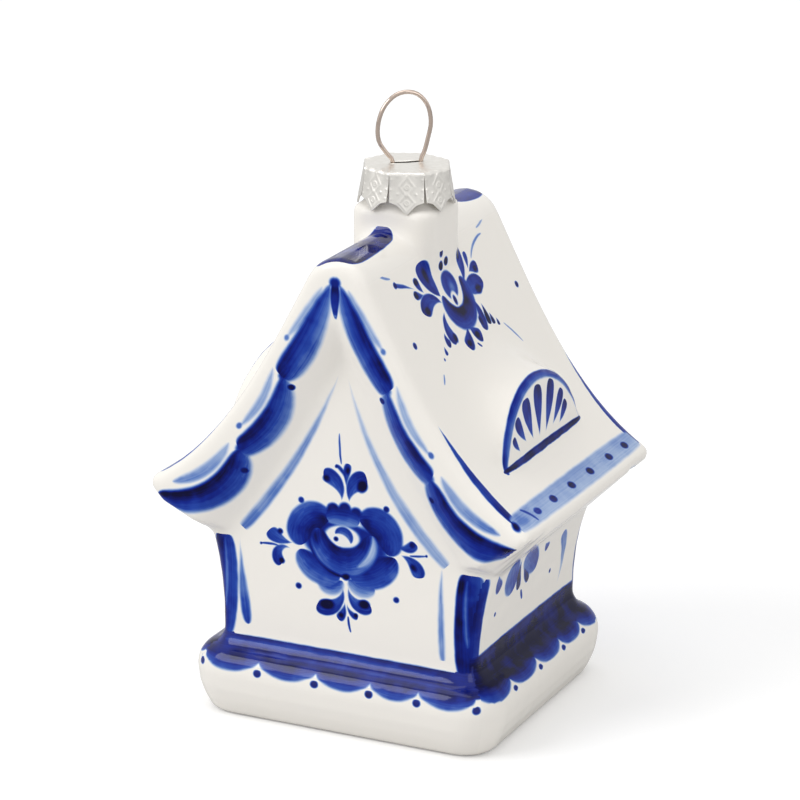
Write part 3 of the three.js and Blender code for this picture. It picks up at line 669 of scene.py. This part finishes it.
# Porcelain body: its grid, the stopper that closes the neck's bore, and the passes that soften it
ROUND_STEPS = 8
SLOPE_STEPS = 32
VOXEL = 0.6
STOPPER_RADIUS = 6
STOPPER_DEPTH = 7
STOPPER_Z = 84.5
SMOOTH_PASSES = 14
WIDEN_PASSES = 4
SPREAD_PASSES = 8
FILL_PASSES = 26
SLOPE_PASSES = 160

# Part of the slope round the window that is smoothed more, in millimetres
SWELL_HALF = 23.5
SWELL_FOOT_Z = 50.5
SWELL_TOP_Z = 77


def roof_outline():
    """Right half of the roof's section as points, and lengths up the slope from the eave."""
    eave = (EAVE_X - EAVE_RADIUS, EAVE_Z)
    ridge = (0.0, RIDGE_Z - RIDGE_RADIUS)
    points = [(WALL_X + WALL_FLARE, SOFFIT_Z)]
    first = math.atan2(EAVE_Z - EAVE_RADIUS - SOFFIT_Z, eave[0] - WALL_X - WALL_FLARE) - math.pi / 2
    last = math.pi / 2 - EAVE_SLOPE
    for step in range(ROUND_STEPS + 1):
        points.append(on_circle(eave, EAVE_RADIUS, first + (last - first) * step / ROUND_STEPS))
    tangent = len(points) - 1
    end = np.array(points[-1])
    top_angle = math.pi / 2 - RIDGE_SLOPE
    start = np.array(on_circle(ridge, RIDGE_RADIUS, top_angle))
    below = start + RIDGE_PULL * np.array([math.cos(RIDGE_SLOPE), -math.sin(RIDGE_SLOPE)])
    above = end + EAVE_PULL * np.array([-math.cos(EAVE_SLOPE), math.sin(EAVE_SLOPE)])
    for step in range(1, SLOPE_STEPS + 1):
        t = step / SLOPE_STEPS
        u = 1 - t
        points.append(tuple(u ** 3 * end + 3 * t * u ** 2 * above + 3 * t * t * u * below + t ** 3 * start))
    for step in range(1, ROUND_STEPS + 1):
        angle = top_angle + (math.pi / 2 - top_angle) * step / ROUND_STEPS
        points.append(on_circle(ridge, RIDGE_RADIUS, angle))
    points = np.array(points)
    lengths = np.concatenate([[0], np.cumsum(np.linalg.norm(np.diff(points, axis=0), axis=1))])
    return points, lengths - lengths[tangent]


def length_along(points, lengths, across, up):
    """Length along a section at the point of it nearest to each place."""
    place = np.stack([across, up], axis=1)
    best = np.full(len(place), 1e9)
    result = np.zeros(len(place))
    for first, second, begun in zip(points, points[1:], lengths):
        edge = second - first
        size = np.linalg.norm(edge)
        share = np.clip(((place - first) @ edge) / size ** 2, 0, 1)
        gap = np.linalg.norm(place - first - share[:, None] * edge, axis=1)
        closer = gap < best
        best[closer] = gap[closer]
        result[closer] = begun + share[closer] * size
    return result


def averaged(co, edges, count, valence):
    total = np.empty_like(co)
    for axis in range(co.shape[1]):
        total[:, axis] = np.bincount(edges[:, 0], co[edges[:, 1], axis], count)
        total[:, axis] += np.bincount(edges[:, 1], co[edges[:, 0], axis], count)
    return total / valence[:, None]


def eased(value, start, width):
    """Runs from 0 at the start to 1 a width further on."""
    return np.clip((value - start) / width, 0, 1)


def window_face_x(up):
    """How far out the leaning face of the window lies at each height."""
    return WINDOW_X - WINDOW_LEAN * (up - WINDOW_SILL_Z) / WINDOW_HEIGHT


def relaxed(co, edges, normals):
    """Takes the steps of the grid out of the skin, then lets the glaze fill the inner corners."""
    count = len(co)
    valence = np.bincount(edges.ravel(), minlength=count).astype(float)

    def pulled(places, weight):
        return places + weight * (averaged(places, edges, count, valence) - places)

    for _ in range(SMOOTH_PASSES):
        co = pulled(pulled(co, 0.5), -0.53)
    bend = ((averaged(co, edges, count, valence) - co) * normals).sum(axis=1)
    inner = eased(bend, 0.012, 0.03)[:, None]
    for _ in range(WIDEN_PASSES):
        inner = np.maximum(inner, averaged(inner, edges, count, valence))
    for _ in range(SPREAD_PASSES):
        inner = averaged(inner, edges, count, valence)
    inner = np.clip(inner * 1.5, 0, 1)
    for _ in range(FILL_PASSES):
        co = pulled(co, 0.5 * inner)
    out = np.abs(co[:, 0])
    across = np.abs(co[:, 1] - WINDOW_Y)
    up = co[:, 2]
    free = eased(window_face_x(up) - out, 1.2, 3.0) * eased(out, 4.0, 4.0)
    free *= (
        eased(SWELL_HALF - across, 0, 3.0) * eased(up, SWELL_FOOT_Z, 3.0) * eased(SWELL_TOP_Z - up, 0, 4.0)
    )
    free = free[:, None]
    for _ in range(SLOPE_PASSES):
        co = pulled(co, 0.5 * free)
    return co


def vertex_array(mesh, name):
    flat = np.empty(len(mesh.vertices) * 3, np.float32)
    mesh.vertices.foreach_get(name, flat)
    return flat.reshape(-1, 3).astype(float)


def polygon_array(mesh, name, kind, width):
    """One row for each polygon of a mesh, or a plain list where the width is 1."""
    flat = np.empty(len(mesh.polygons) * width, kind)
    mesh.polygons.foreach_get(name, flat)
    return flat if width == 1 else flat.reshape(-1, width)


def make_casting():
    shell = merged_copy("house_shell")
    bmesh.ops.create_cone(
        shell, cap_ends=True, segments=48, radius1=STOPPER_RADIUS * MM, radius2=STOPPER_RADIUS * MM,
        depth=STOPPER_DEPTH * MM, matrix=Matrix.Translation((0, 0, STOPPER_Z * MM)),
    )
    rough = bpy.data.meshes.new("rough casting")
    shell.to_mesh(rough)
    shell.free()
    holder = add_object("rough casting", rough)
    remesh = holder.modifiers.new("skin", "REMESH")
    remesh.mode = "VOXEL"
    remesh.voxel_size = VOXEL * MM
    remesh.adaptivity = 0
    skin = evaluated_mesh(holder)
    bpy.data.objects.remove(holder)
    edges = np.empty(len(skin.edges) * 2, np.int32)
    skin.edges.foreach_get("vertices", edges)
    co = relaxed(vertex_array(skin, "co") / MM, edges.reshape(-1, 2), vertex_array(skin, "normal"))
    co[:, 2] = np.maximum(co[:, 2], 0)
    skin.vertices.foreach_set("co", (co * MM).astype(np.float32).ravel())
    skin.update()
    skin.name = "casting"
    return add_object("casting", skin)


# Faces of the house with their brushwork, and where each sheet is cut into tiles
SHEETS = {
    "gable panel": (PANEL, (-17, -8, 0, 8, 17), (21, 28, 33, 38, 42, 50)),
    "barge band": (BARGE, (9, 19), (48, 66)),
    "roof slope": (fuller(ROOF, 0.12), (-20, -10, -3, 4, 12), (8, 30, 36, 41, 45, 52)),
    "ridge": (RIDGE, (), ()),
    "eyebrow window": (WINDOW, (-8, 0, 8), ()),
    "side wall": (SIDE, (-18, -3, 8, 20), ()),
    "plinth": (PLINTH_WITH_PAINTED_HIGHLIGHTS, (-14, 0, 14), ()),
    "plinth side": (PLINTH_SIDE_WITH_PAINTED_SHADE, (-14, 0, 14), ()),
}


def turned_corner(across, half, radius):
    """Goes on measuring in millimetres round an edge whose rounding starts one radius before it."""
    over = np.clip((np.abs(across) - (half - radius)) / radius, 0, 1)
    return np.where(over > 0, np.sign(across) * (half - radius + radius * np.arcsin(over)), across)


# Borders between the painted faces, in millimetres
RIDGE_FACE_DROP = 3.6
RIDGE_FACE_HALF = 7.5
GABLE_FROM_Y = 19.0
BARGE_FROM_Y = 26.0
PANEL_MARGIN = 2.2
PLINTH_FACE_TOP = 15.4
PLINTH_FACE_SIDE_TOP = 16.4
WINDOW_FACE_FROM_X = 22.5
WINDOW_FACE_FROM_Z = 49.4
WINDOW_FACE_TO_Z = 69.0
WINDOW_FACE_HALF = 20.5

# The gables' rounded edge, and the plinth's profile: its foot, its cove's start and its length per step in
GABLE_HALF = 29.2
GABLE_ROUND = 2.2
PROFILE_FOOT = 0.66
COVE_FROM_Z = 10.5
COVE_STRETCH = 0.62
SIDE_PROFILE_DROP = 1.0


def sort_faces(x, y, z, nx, ny, nz):
    """Name of the painted face that each polygon belongs to."""
    ax = np.abs(x)
    ay = np.abs(y)
    tilt_x = nx * np.sign(x)
    outward = np.maximum(tilt_x * math.sin(RIDGE_SLOPE) + nz * math.cos(RIDGE_SLOPE), tilt_x)
    name = np.full(len(x), "roof slope", dtype="U16")
    name[(z > RIDGE_Z - RIDGE_FACE_DROP) & (ax < RIDGE_FACE_HALF)] = "ridge"
    gable = (ay > GABLE_FROM_Y) & ((np.abs(ny) > 0.85) | ((np.abs(ny) > 0.3) & (outward < 0.35)))
    slope_edge = (PANEL_PEAK_Z - z) * PANEL_FOOT_X / (PANEL_PEAK_Z - PANEL_FOOT_Z) + PANEL_MARGIN
    name[gable] = "barge band"
    name[gable & (ax < slope_edge) & (ay < WALL_Y + 3.0)] = "gable panel"
    under = (nz < -0.3) & (z > SOFFIT_Z - 1) & (ax < EAVE_X - 1.8) & (ax > WALL_X)
    name[under & (ay >= BARGE_FROM_Y)] = "barge band"
    name[under & (ay < BARGE_FROM_Y)] = "plain glaze"
    walls = (z < SOFFIT_Z + 1.2) & (ax < WALL_X + WALL_FLARE + 0.4) & (nz > -0.75)
    name[walls & (tilt_x >= np.abs(ny))] = "side wall"
    name[walls & (tilt_x < np.abs(ny))] = "gable panel"
    window = (ax > WINDOW_FACE_FROM_X) & (np.abs(y - WINDOW_Y) < WINDOW_FACE_HALF)
    name[window & (z > WINDOW_FACE_FROM_Z) & (z < WINDOW_FACE_TO_Z)] = "eyebrow window"
    beside_wall = (z <= PLINTH_FACE_SIDE_TOP) & (ax > WALL_X - 0.6) & (tilt_x > np.abs(ny))
    name[(z <= PLINTH_FACE_TOP) | beside_wall] = "plinth"
    stack = (z > RIDGE_Z - 4) & (np.maximum(ax, ay) < CHIMNEY_HALF + 0.35)
    name[stack | (z < 0.4)] = "plain glaze"
    return name


def window_sheet(across, out, up):
    """Millimetres along and up the window's face, going on over its edge where the swell leaves it."""
    behind = np.where(up > WINDOW_SILL_Z, np.maximum(window_face_x(up) - 0.1 - out, 0), 0)
    away = np.stack([across - WINDOW_Y, np.maximum(up - WINDOW_SILL_Z, 0.01)], axis=1)
    away /= np.linalg.norm(away, axis=1)[:, None]
    return across + behind * away[:, 0], up + behind * away[:, 1]


def plinth_bend(x, y):
    """How far each place lies past the start of the plinth's corner both ways, and its turn round it."""
    over_x = np.maximum(np.abs(x) - PLINTH_BEND_X, 0)
    over_y = np.maximum(np.abs(y) - PLINTH_BEND_Y, 0)
    return over_x, over_y, np.arctan2(over_x, np.maximum(over_y, 1e-6))


def plinth_sheet(x, y, z, facing, right, front):
    """Millimetres round the plinth from the middle of a side, and up its profile from the foot."""
    over_x, over_y, turn = plinth_bend(x, y)
    round_front = np.minimum(np.abs(x), PLINTH_BEND_X) + PLINTH_CORNER * turn
    round_side = np.minimum(np.abs(y), PLINTH_BEND_Y) + PLINTH_CORNER * (math.pi / 2 - turn)
    inwards = np.where(facing, PLINTH_Y - np.abs(y), PLINTH_X - np.abs(x))
    inwards = np.where((over_x > 0) & (over_y > 0), PLINTH_CORNER - np.hypot(over_x, over_y), inwards)
    profile = z + PROFILE_FOOT + np.where(z > COVE_FROM_Z, COVE_STRETCH * np.maximum(inwards, 0), 0)
    around = np.where(facing, round_front * np.sign(x) * front, round_side * np.sign(y) * right)
    return around, profile


def paint_tiles(mesh, name, middle):
    """Gives each tile of each painted face the material that holds its own strokes."""
    index = np.zeros(len(name), np.int32)
    mesh.materials.append(glazed_porcelain("plain glaze", []))
    for label, (marks, across_cuts, up_cuts) in SHEETS.items():
        here = name == label
        column = np.searchsorted(across_cuts, middle[:, 0]) if across_cuts else 0
        row = np.searchsorted(up_cuts, middle[:, 1]) if up_cuts else 0
        tile = row * (len(across_cuts) + 1) + column
        gloss = POOLED_GLOSS.get(label, GLAZE_GLOSS)
        for number, tile_marks in enumerate(cut_tiles(marks, across_cuts, up_cuts)):
            if tile_marks:
                index[here & (tile == number)] = len(mesh.materials)
                mesh.materials.append(glazed_porcelain(f"{label} {number + 1}", tile_marks, gloss))
    mesh.polygons.foreach_set("material_index", index)


def unroll(casting):
    """Sorts the skin into the faces that were painted, and unrolls each one into millimetres."""
    mesh = casting.data
    co = vertex_array(mesh, "co") / MM
    count = len(mesh.polygons)
    total = polygon_array(mesh, "loop_total", np.int32, 1)
    corner = np.empty(len(mesh.loops), np.int32)
    mesh.loops.foreach_get("vertex_index", corner)
    x, y, z = polygon_array(mesh, "center", np.float32, 3).T / MM
    name = sort_faces(x, y, z, *polygon_array(mesh, "normal", np.float32, 3).T)
    turn = plinth_bend(x, y)[2]
    name[(name == "plinth") & (turn > math.pi / 4)] = "plinth side"

    face = np.repeat(np.arange(count), total)
    which = name[face]
    px, py, pz = co[corner].T
    right = np.where(x[face] < 0, -1.0, 1.0)
    front = np.where(y[face] > 0, -1.0, 1.0)
    sheet = np.zeros((len(corner), 3), np.float32)

    def lay(label, across, up):
        here = which == label
        sheet[here, 0] = across[here]
        sheet[here, 1] = up[here]

    lay("gable panel", px * front, pz)
    lay("barge band", np.abs(px), pz)
    lay("side wall", py * right, pz)
    lay("eyebrow window", *window_sheet(WINDOW_Y + (py - WINDOW_Y) * right, np.abs(px), pz))

    points, lengths = roof_outline()
    climb = length_along(points, lengths, np.abs(co[:, 0]), co[:, 2])[corner]
    along = turned_corner(py, GABLE_HALF, GABLE_ROUND)
    lay("roof slope", along * right, climb)
    lay("ridge", along, np.where(px < 0, 2 * RIDGE_TOP - climb, climb))

    around, profile = plinth_sheet(px, py, pz, which != "plinth side", right, front)
    lay("plinth", around, profile)
    lay("plinth side", around, profile - SIDE_PROFILE_DROP)
    attribute = mesh.attributes.new("paint", "FLOAT_VECTOR", "CORNER")
    attribute.data.foreach_set("vector", sheet.ravel())

    middle = np.zeros((count, 2))
    for axis in range(2):
        middle[:, axis] = np.bincount(face, sheet[:, axis], count) / total
    paint_tiles(mesh, name, middle)


casting = make_casting()
unroll(casting)
smooth(casting.data)
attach(casting, "house")
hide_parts("house_shell")


# Cap and loop

def bright_metal(name, tone, roughness):
    material, tree, shader = new_material(name)
    shader["Metallic"].default_value = 1.0
    grain = noise(tree, put(tree, "ShaderNodeTexCoord").outputs["Object"], 900, 3.0)["Fac"]
    rubbed = smooth_range(tree, grain, 0.3, 0.7, roughness - 0.06, roughness + 0.08)
    feed(tree, shader["Roughness"], rubbed)
    dull = (*(0.85 * part for part in tone[:3]), 1.0)
    feed(tree, shader["Base Color"], blend(tree, "RGBA", grain, tone, dull))
    return material


# Cap: one pressed petal with its share of the disc, repeated round the centre disc that holds the slot
CAP_TOP_Z = 100.36
PETALS = 8
FIRST_PETAL = math.radians(-65)
PETAL_HALF = 3.15
PETAL_TILT = math.radians(10)
PETAL_OUT = 7.09
PETAL_BEND = 0.55
PETAL_SIDE = 4.83
PETAL_POINT = 2.15
DISC_RADIUS = 4.9
FLUTES = 3
FLUTE_HEIGHT = 0.045
SLOT_HALF = 2.95
SLOT_WIDE = 0.7
SLOT_TURN = math.radians(39.5)
LIP_HEIGHT = 0.22
SHEET = 0.3
SEAM = 0.004
ACROSS_STEPS = 54
FLUTE_ROWS = 18
BEND_ROWS = 7
SIDE_ROWS = 40
ANGLE_STEP = 2 * math.pi / PETALS / ACROSS_STEPS

# Outline of the petal's lower edge: half width left at each share of the point's height
PETAL_EDGE_UP = [0.0, 0.06, 0.18, 0.3, 1.0]
PETAL_EDGE_HALF = [3.1, 2.7, 1.95, 1.6, 0.04]

# Pressed dots as across, down from the bend, radius, height; rings and diamonds as across, down, size
DOTS = [(1.6, 3.3, 0.22, 0.08), (2.75, 0.8, 0.2, 0.06), (2.75, 2.6, 0.2, 0.06), (2.7, 4.2, 0.2, 0.06)]
TOP_DOTS = [(1.7, 0.15, 0.18, 0.05), (0.0, 0.1, 0.18, 0.05)]
RING_PLACES = [2.1, 4.9]
RING_RADIUS = 0.4
DIAMONDS = [(2.0, 1.3, 1.7), (4.85, 1.4, 1.6)]

# Shares of the point's height at which its rows lie
POINT_ROWS = [0.03, 0.06, 0.1, 0.14, 0.18, 0.24, 0.3, 0.38, 0.46, 0.54, 0.62, 0.7, 0.78, 0.86, 0.93, 1.0]

# Section of the slot's lip: share of the way from the slot to the disc's edge, and share of the lip's height
LIP_PEAK = 0.35
LIP_ROWS = [
    (0.0, -0.1), (0.01, 0.12), (0.035, 0.28), (0.07, 0.34), (0.12, 0.35), (0.18, 0.31), (0.26, 0.22),
    (0.36, 0.12), (0.48, 0.05), (0.62, 0.02), (0.76, 0.0), (0.88, 0.0), (1.0, 0.0),
]


def pressed(across, down):
    """Height of the pressing above the petal's plane."""
    side = np.abs(across)
    height = np.zeros_like(across)
    for x, y, radius, rise in DOTS + TOP_DOTS:
        height += rise * np.exp(-((side - x) ** 2 + (down - y) ** 2) / (0.8 * radius * radius))
    for y in RING_PLACES:
        reach = np.hypot(across, down - y)
        height += 0.06 * np.exp(-((reach - RING_RADIUS) / 0.12) ** 2)
        height += 0.07 * np.exp(-(reach / 0.16) ** 2)
    for y, wide, tall in DIAMONDS:
        reach = side / wide + np.abs(down - y) / tall
        height += 0.05 * np.exp(-((reach - 1) / 0.2) ** 2)
    return height


def grid_faces(rows, columns, closed=False):
    faces = []
    for row in range(rows - 1):
        first = row * columns
        after = first + columns
        for column in range(columns if closed else columns - 1):
            beside = (column + 1) % columns
            faces.append((first + column, first + beside, after + beside, after + column))
    return faces


def mesh_holder(name, rows, closed=False):
    mesh = bpy.data.meshes.new(name)
    columns = len(rows[0])
    mesh.from_pydata((np.concatenate(rows) * MM).tolist(), [], grid_faces(len(rows), columns, closed))
    return add_object(name, mesh)


def petal_rows():
    """Rows of the petal from the centre disc out over the flutes, round the bend and down to the point."""
    share = np.linspace(-1, 1, ACROSS_STEPS + 1)
    angle = share * math.pi / PETALS
    inner = np.stack([DISC_RADIUS * np.sin(angle), DISC_RADIUS * np.cos(angle)], axis=1)
    outer = np.stack([PETAL_HALF * share * 0.985, np.full_like(share, PETAL_OUT)], axis=1)
    rows = []
    for step in range(FLUTE_ROWS + 1):
        out = step / FLUTE_ROWS
        flat = inner + (outer - inner) * out
        swell = out * out * (3 - 2 * out)
        slant = 0.5 * out
        wave = np.cos(FLUTES * math.pi * (share + slant) + math.pi)
        z = CAP_TOP_Z + FLUTE_HEIGHT * swell * wave
        rows.append(np.column_stack([flat[:, 0], flat[:, 1], z]))
    edge_wave = FLUTE_HEIGHT * np.cos(FLUTES * math.pi * (share + 0.5) + math.pi)
    for step in range(1, BEND_ROWS + 1):
        turn = (math.pi / 2 - PETAL_TILT) * step / BEND_ROWS
        y = PETAL_OUT + PETAL_BEND * math.sin(turn)
        z = CAP_TOP_Z - PETAL_BEND * (1 - math.cos(turn))
        lift = edge_wave * math.cos(turn)
        push = edge_wave * math.sin(turn)
        rows.append(np.column_stack([PETAL_HALF * share, y + push, z + lift]))
    end_y = PETAL_OUT + PETAL_BEND * math.cos(PETAL_TILT)
    end_z = CAP_TOP_Z - PETAL_BEND * (1 - math.sin(PETAL_TILT))
    lengths = list(np.linspace(0.1, PETAL_SIDE, SIDE_ROWS))
    lengths += [PETAL_SIDE + PETAL_POINT * part for part in POINT_ROWS]
    for down in lengths:
        over = max(0, down - PETAL_SIDE) / PETAL_POINT
        half = np.interp(over, PETAL_EDGE_UP, PETAL_EDGE_HALF)
        x = share * half
        height = pressed(x, np.full_like(x, down))
        height += edge_wave * math.exp(-down / 0.7)
        height -= 0.25 * (x / PETAL_HALF) ** 2 * min(1, down / 2)
        y = end_y + down * math.sin(PETAL_TILT) + height * math.cos(PETAL_TILT)
        z = end_z - down * math.cos(PETAL_TILT) + height * math.sin(PETAL_TILT)
        rows.append(np.column_stack([x, y, z]))
    return rows


def disc_rows():
    """Rings of the centre disc from the slot's turned-down edge over its lip to the petals' inner ends."""
    first = FIRST_PETAL - math.pi / PETALS
    angle = first + ANGLE_STEP * np.arange(PETALS * ACROSS_STEPS)
    ray = np.stack([np.cos(angle - SLOT_TURN), np.sin(angle - SLOT_TURN)], axis=1)
    reach = 1 / ((np.abs(ray[:, 0]) / SLOT_HALF) ** 6 + (np.abs(ray[:, 1]) / SLOT_WIDE) ** 6) ** (1 / 6)
    edge = ray * reach[:, None]
    rim = ray * DISC_RADIUS
    rows = []
    for out, lift in LIP_ROWS:
        flat = edge + (rim - edge) * out
        across = flat @ np.array([math.cos(SLOT_TURN), -math.sin(SLOT_TURN)])
        along = flat @ np.array([math.sin(SLOT_TURN), math.cos(SLOT_TURN)])
        z = np.full(len(angle), CAP_TOP_Z + lift * LIP_HEIGHT / LIP_PEAK)
        rows.append(np.column_stack([across, along, z]))
    return rows


def petal_ring():
    """Tree that sets the petals round the axis, adds the centre disc and gives everything one material."""
    tree = bpy.data.node_groups.new("petal ring", "GeometryNodeTree")
    tree.interface.new_socket("Geometry", in_out="INPUT", socket_type="NodeSocketGeometry")
    sockets = {}
    for label, kind in (
        ("Petals", "Int"), ("First direction", "Float"), ("Centre disc", "Object"), ("Metal", "Material")
    ):
        socket = tree.interface.new_socket(label, in_out="INPUT", socket_type="NodeSocket" + kind)
        sockets[label] = socket.identifier
    tree.interface.new_socket("Geometry", in_out="OUTPUT", socket_type="NodeSocketGeometry")
    given = put(tree, "NodeGroupInput").outputs
    spots = put(tree, "GeometryNodeMeshLine")
    feed(tree, spots.inputs["Count"], given["Petals"])
    spots.inputs["Offset"].default_value = (0, 0, 0)
    order = put(tree, "GeometryNodeInputIndex").outputs[0]
    step = calc(tree, "DIVIDE", 2 * math.pi, given["Petals"])
    turn = calc(tree, "MULTIPLY_ADD", order, step, given["First direction"])
    ring = put(tree, "GeometryNodeInstanceOnPoints")
    feed(tree, ring.inputs["Points"], spots.outputs["Mesh"])
    feed(tree, ring.inputs["Instance"], given["Geometry"])
    feed(tree, ring.inputs["Rotation"], joined(tree, 0.0, 0.0, turn))
    disc = put(tree, "GeometryNodeObjectInfo", transform_space="RELATIVE")
    feed(tree, disc.inputs["Object"], given["Centre disc"])
    whole = put(tree, "GeometryNodeJoinGeometry")
    feed(tree, whole.inputs[0], ring.outputs["Instances"])
    feed(tree, whole.inputs[0], disc.outputs["Geometry"])
    plain = put(tree, "GeometryNodeRealizeInstances")
    feed(tree, plain.inputs[0], whole.outputs[0])
    coat = put(tree, "GeometryNodeSetMaterial")
    feed(tree, coat.inputs["Geometry"], plain.outputs[0])
    feed(tree, coat.inputs["Material"], given["Metal"])
    feed(tree, put(tree, "NodeGroupOutput").inputs[0], coat.outputs[0])
    return tree, sockets


def make_cap(metal):
    petal = mesh_holder("petal", petal_rows())
    disc = mesh_holder("centre disc", disc_rows(), closed=True)
    tree, sockets = petal_ring()
    ring = petal.modifiers.new("ring", "NODES")
    ring.node_group = tree
    ring[sockets["Petals"]] = PETALS
    ring[sockets["First direction"]] = FIRST_PETAL - math.pi / 2
    ring[sockets["Centre disc"]] = disc
    ring[sockets["Metal"]] = metal
    sheet = evaluated_mesh(petal)
    petal.modifiers.remove(ring)
    bpy.data.objects.remove(petal)
    bpy.data.objects.remove(disc)
    seams = bmesh.new()
    seams.from_mesh(sheet)
    bmesh.ops.remove_doubles(seams, verts=seams.verts, dist=SEAM * MM)
    bmesh.ops.recalc_face_normals(seams, faces=seams.faces)
    seams.faces.ensure_lookup_table()
    highest = max(seams.faces, key=lambda face: abs(face.normal.z) * face.calc_area())
    if highest.normal.z < 0:
        bmesh.ops.reverse_faces(seams, faces=seams.faces)
    seams.to_mesh(sheet)
    seams.free()
    sheet.name = "pressed cap"
    cap = add_object("pressed_cap", sheet)
    thick = cap.modifiers.new("sheet", "SOLIDIFY")
    thick.thickness = SHEET * MM
    thick.offset = -1
    cap.data = evaluated_mesh(cap)
    cap.modifiers.remove(thick)
    smooth(cap.data)
    return cap


cap = make_cap(bright_metal("pressed aluminium", shade(232, 229, 223), 0.36))
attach(cap, "cap")
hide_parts("neck_cap")


def make_loop(metal):
    """The wire, with its loose triangles joined and its facets shaded smooth."""
    wire = merged_copy("hanger_loop")
    mesh = bpy.data.meshes.new("wire loop")
    wire.to_mesh(mesh)
    wire.free()
    mesh.materials.clear()
    mesh.materials.append(metal)
    smooth(mesh)
    return add_object("wire_loop", mesh)


loop = make_loop(bright_metal("drawn wire", shade(198, 181, 169), 0.13))
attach(loop, "loop")
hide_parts("hanger_loop")

# Floor, light and camera: sizes in metres, powers in watts
FLOOR_HALF = 6
FLOOR_DROP = 0.0001
PAPER_SEEN = 0.97
PAPER_LIT = 0.72
PAPER_LIFT = 0.15
SKY_LIGHT = 0.58
LAMP_AIM = Vector((0, 0, 0.05))
LAMPS = {
    "key": ((-0.9, -1.0, 1.0), 0.9, 0.8, 9.6),
    "side": ((1.35, -0.5, 0.6), 0.7, 1.0, 3.2),
    "top": ((-0.1, 0.0, 1.5), 1.2, 1.2, 6.0),
}


def grey(value):
    return value, value, value, 1.0


floor_mesh = bpy.data.meshes.new("floor")
floor_corners = [(FLOOR_HALF * x, FLOOR_HALF * y, 0) for x, y in ((-1, -1), (1, -1), (1, 1), (-1, 1))]
floor_mesh.from_pydata(floor_corners, [], [(0, 1, 2, 3)])
floor = add_object("floor", floor_mesh)
floor.location.z = -FLOOR_DROP
paper, tree, _ = new_material("white paper")
tree.nodes.clear()
seen = put(tree, "ShaderNodeLightPath").outputs["Is Camera Ray"]
matte = put(tree, "ShaderNodeBsdfDiffuse")
tone = blend(tree, "RGBA", seen, grey(PAPER_LIT), grey(PAPER_SEEN))
feed(tree, matte.inputs["Color"], tone)
lift = put(tree, "ShaderNodeEmission")
lift.inputs["Color"].default_value = (1, 1, 1, 1)
feed(tree, lift.inputs["Strength"], calc(tree, "MULTIPLY", seen, PAPER_LIFT))
total = put(tree, "ShaderNodeAddShader")
feed(tree, total.inputs[0], matte.outputs[0])
feed(tree, total.inputs[1], lift.outputs[0])
feed(tree, put(tree, "ShaderNodeOutputMaterial").inputs["Surface"], total.outputs[0])
floor_mesh.materials.append(paper)

for name, (place, width, height, power) in LAMPS.items():
    light = bpy.data.lights.new(name, "AREA")
    light.shape = "RECTANGLE"
    light.size = width
    light.size_y = height
    light.energy = power
    lamp = add_object(name, light)
    lamp.location = place
    lamp.rotation_euler = (Vector(place) - LAMP_AIM).to_track_quat("Z", "Y").to_euler()

world = bpy.data.worlds.new("studio")
world.use_nodes = True
bpy.context.scene.world = world
tree = world.node_tree
tree.nodes.clear()
path = put(tree, "ShaderNodeLightPath").outputs
shown = calc(tree, "MAXIMUM", path["Is Camera Ray"], path["Is Glossy Ray"])
shown = calc(tree, "MAXIMUM", shown, path["Is Transmission Ray"])
sky = put(tree, "ShaderNodeBackground")
sky.inputs["Color"].default_value = (1, 1, 1, 1)
feed(tree, sky.inputs["Strength"], blend(tree, "FLOAT", shown, SKY_LIGHT, 1.0))
feed(tree, put(tree, "ShaderNodeOutputWorld").inputs["Surface"], sky.outputs[0])

CAMERA_AZIMUTH = 0.431
CAMERA_ELEVATION = 0.309
CAMERA_ROLL = 0.012
CAMERA_DISTANCE = 0.7107
CAMERA_LENS = 175.9
CAMERA_RIGHT = -0.0007
CAMERA_UP = 0.0559
back = Vector((
    math.sin(CAMERA_AZIMUTH) * math.cos(CAMERA_ELEVATION),
    -math.cos(CAMERA_AZIMUTH) * math.cos(CAMERA_ELEVATION),
    math.sin(CAMERA_ELEVATION),
))
level = Vector((math.cos(CAMERA_AZIMUTH), math.sin(CAMERA_AZIMUTH), 0))
upright = back.cross(level)
across = level * math.cos(CAMERA_ROLL) + upright * math.sin(CAMERA_ROLL)
above = upright * math.cos(CAMERA_ROLL) - level * math.sin(CAMERA_ROLL)
spot = Vector((0, 0, CAMERA_UP)) + level * CAMERA_RIGHT + back * CAMERA_DISTANCE
lens = bpy.data.cameras.new("camera")
lens.lens = CAMERA_LENS
lens.sensor_width = 36
lens.clip_start = 0.01
camera = add_object("camera", lens)
camera.matrix_world = Matrix((
    (across.x, above.x, back.x, spot.x),
    (across.y, above.y, back.y, spot.y),
    (across.z, above.z, back.z, spot.z),
    (0, 0, 0, 1),
))
bpy.context.scene.camera = camera
bpy.context.scene.view_settings.view_transform = "Standard"
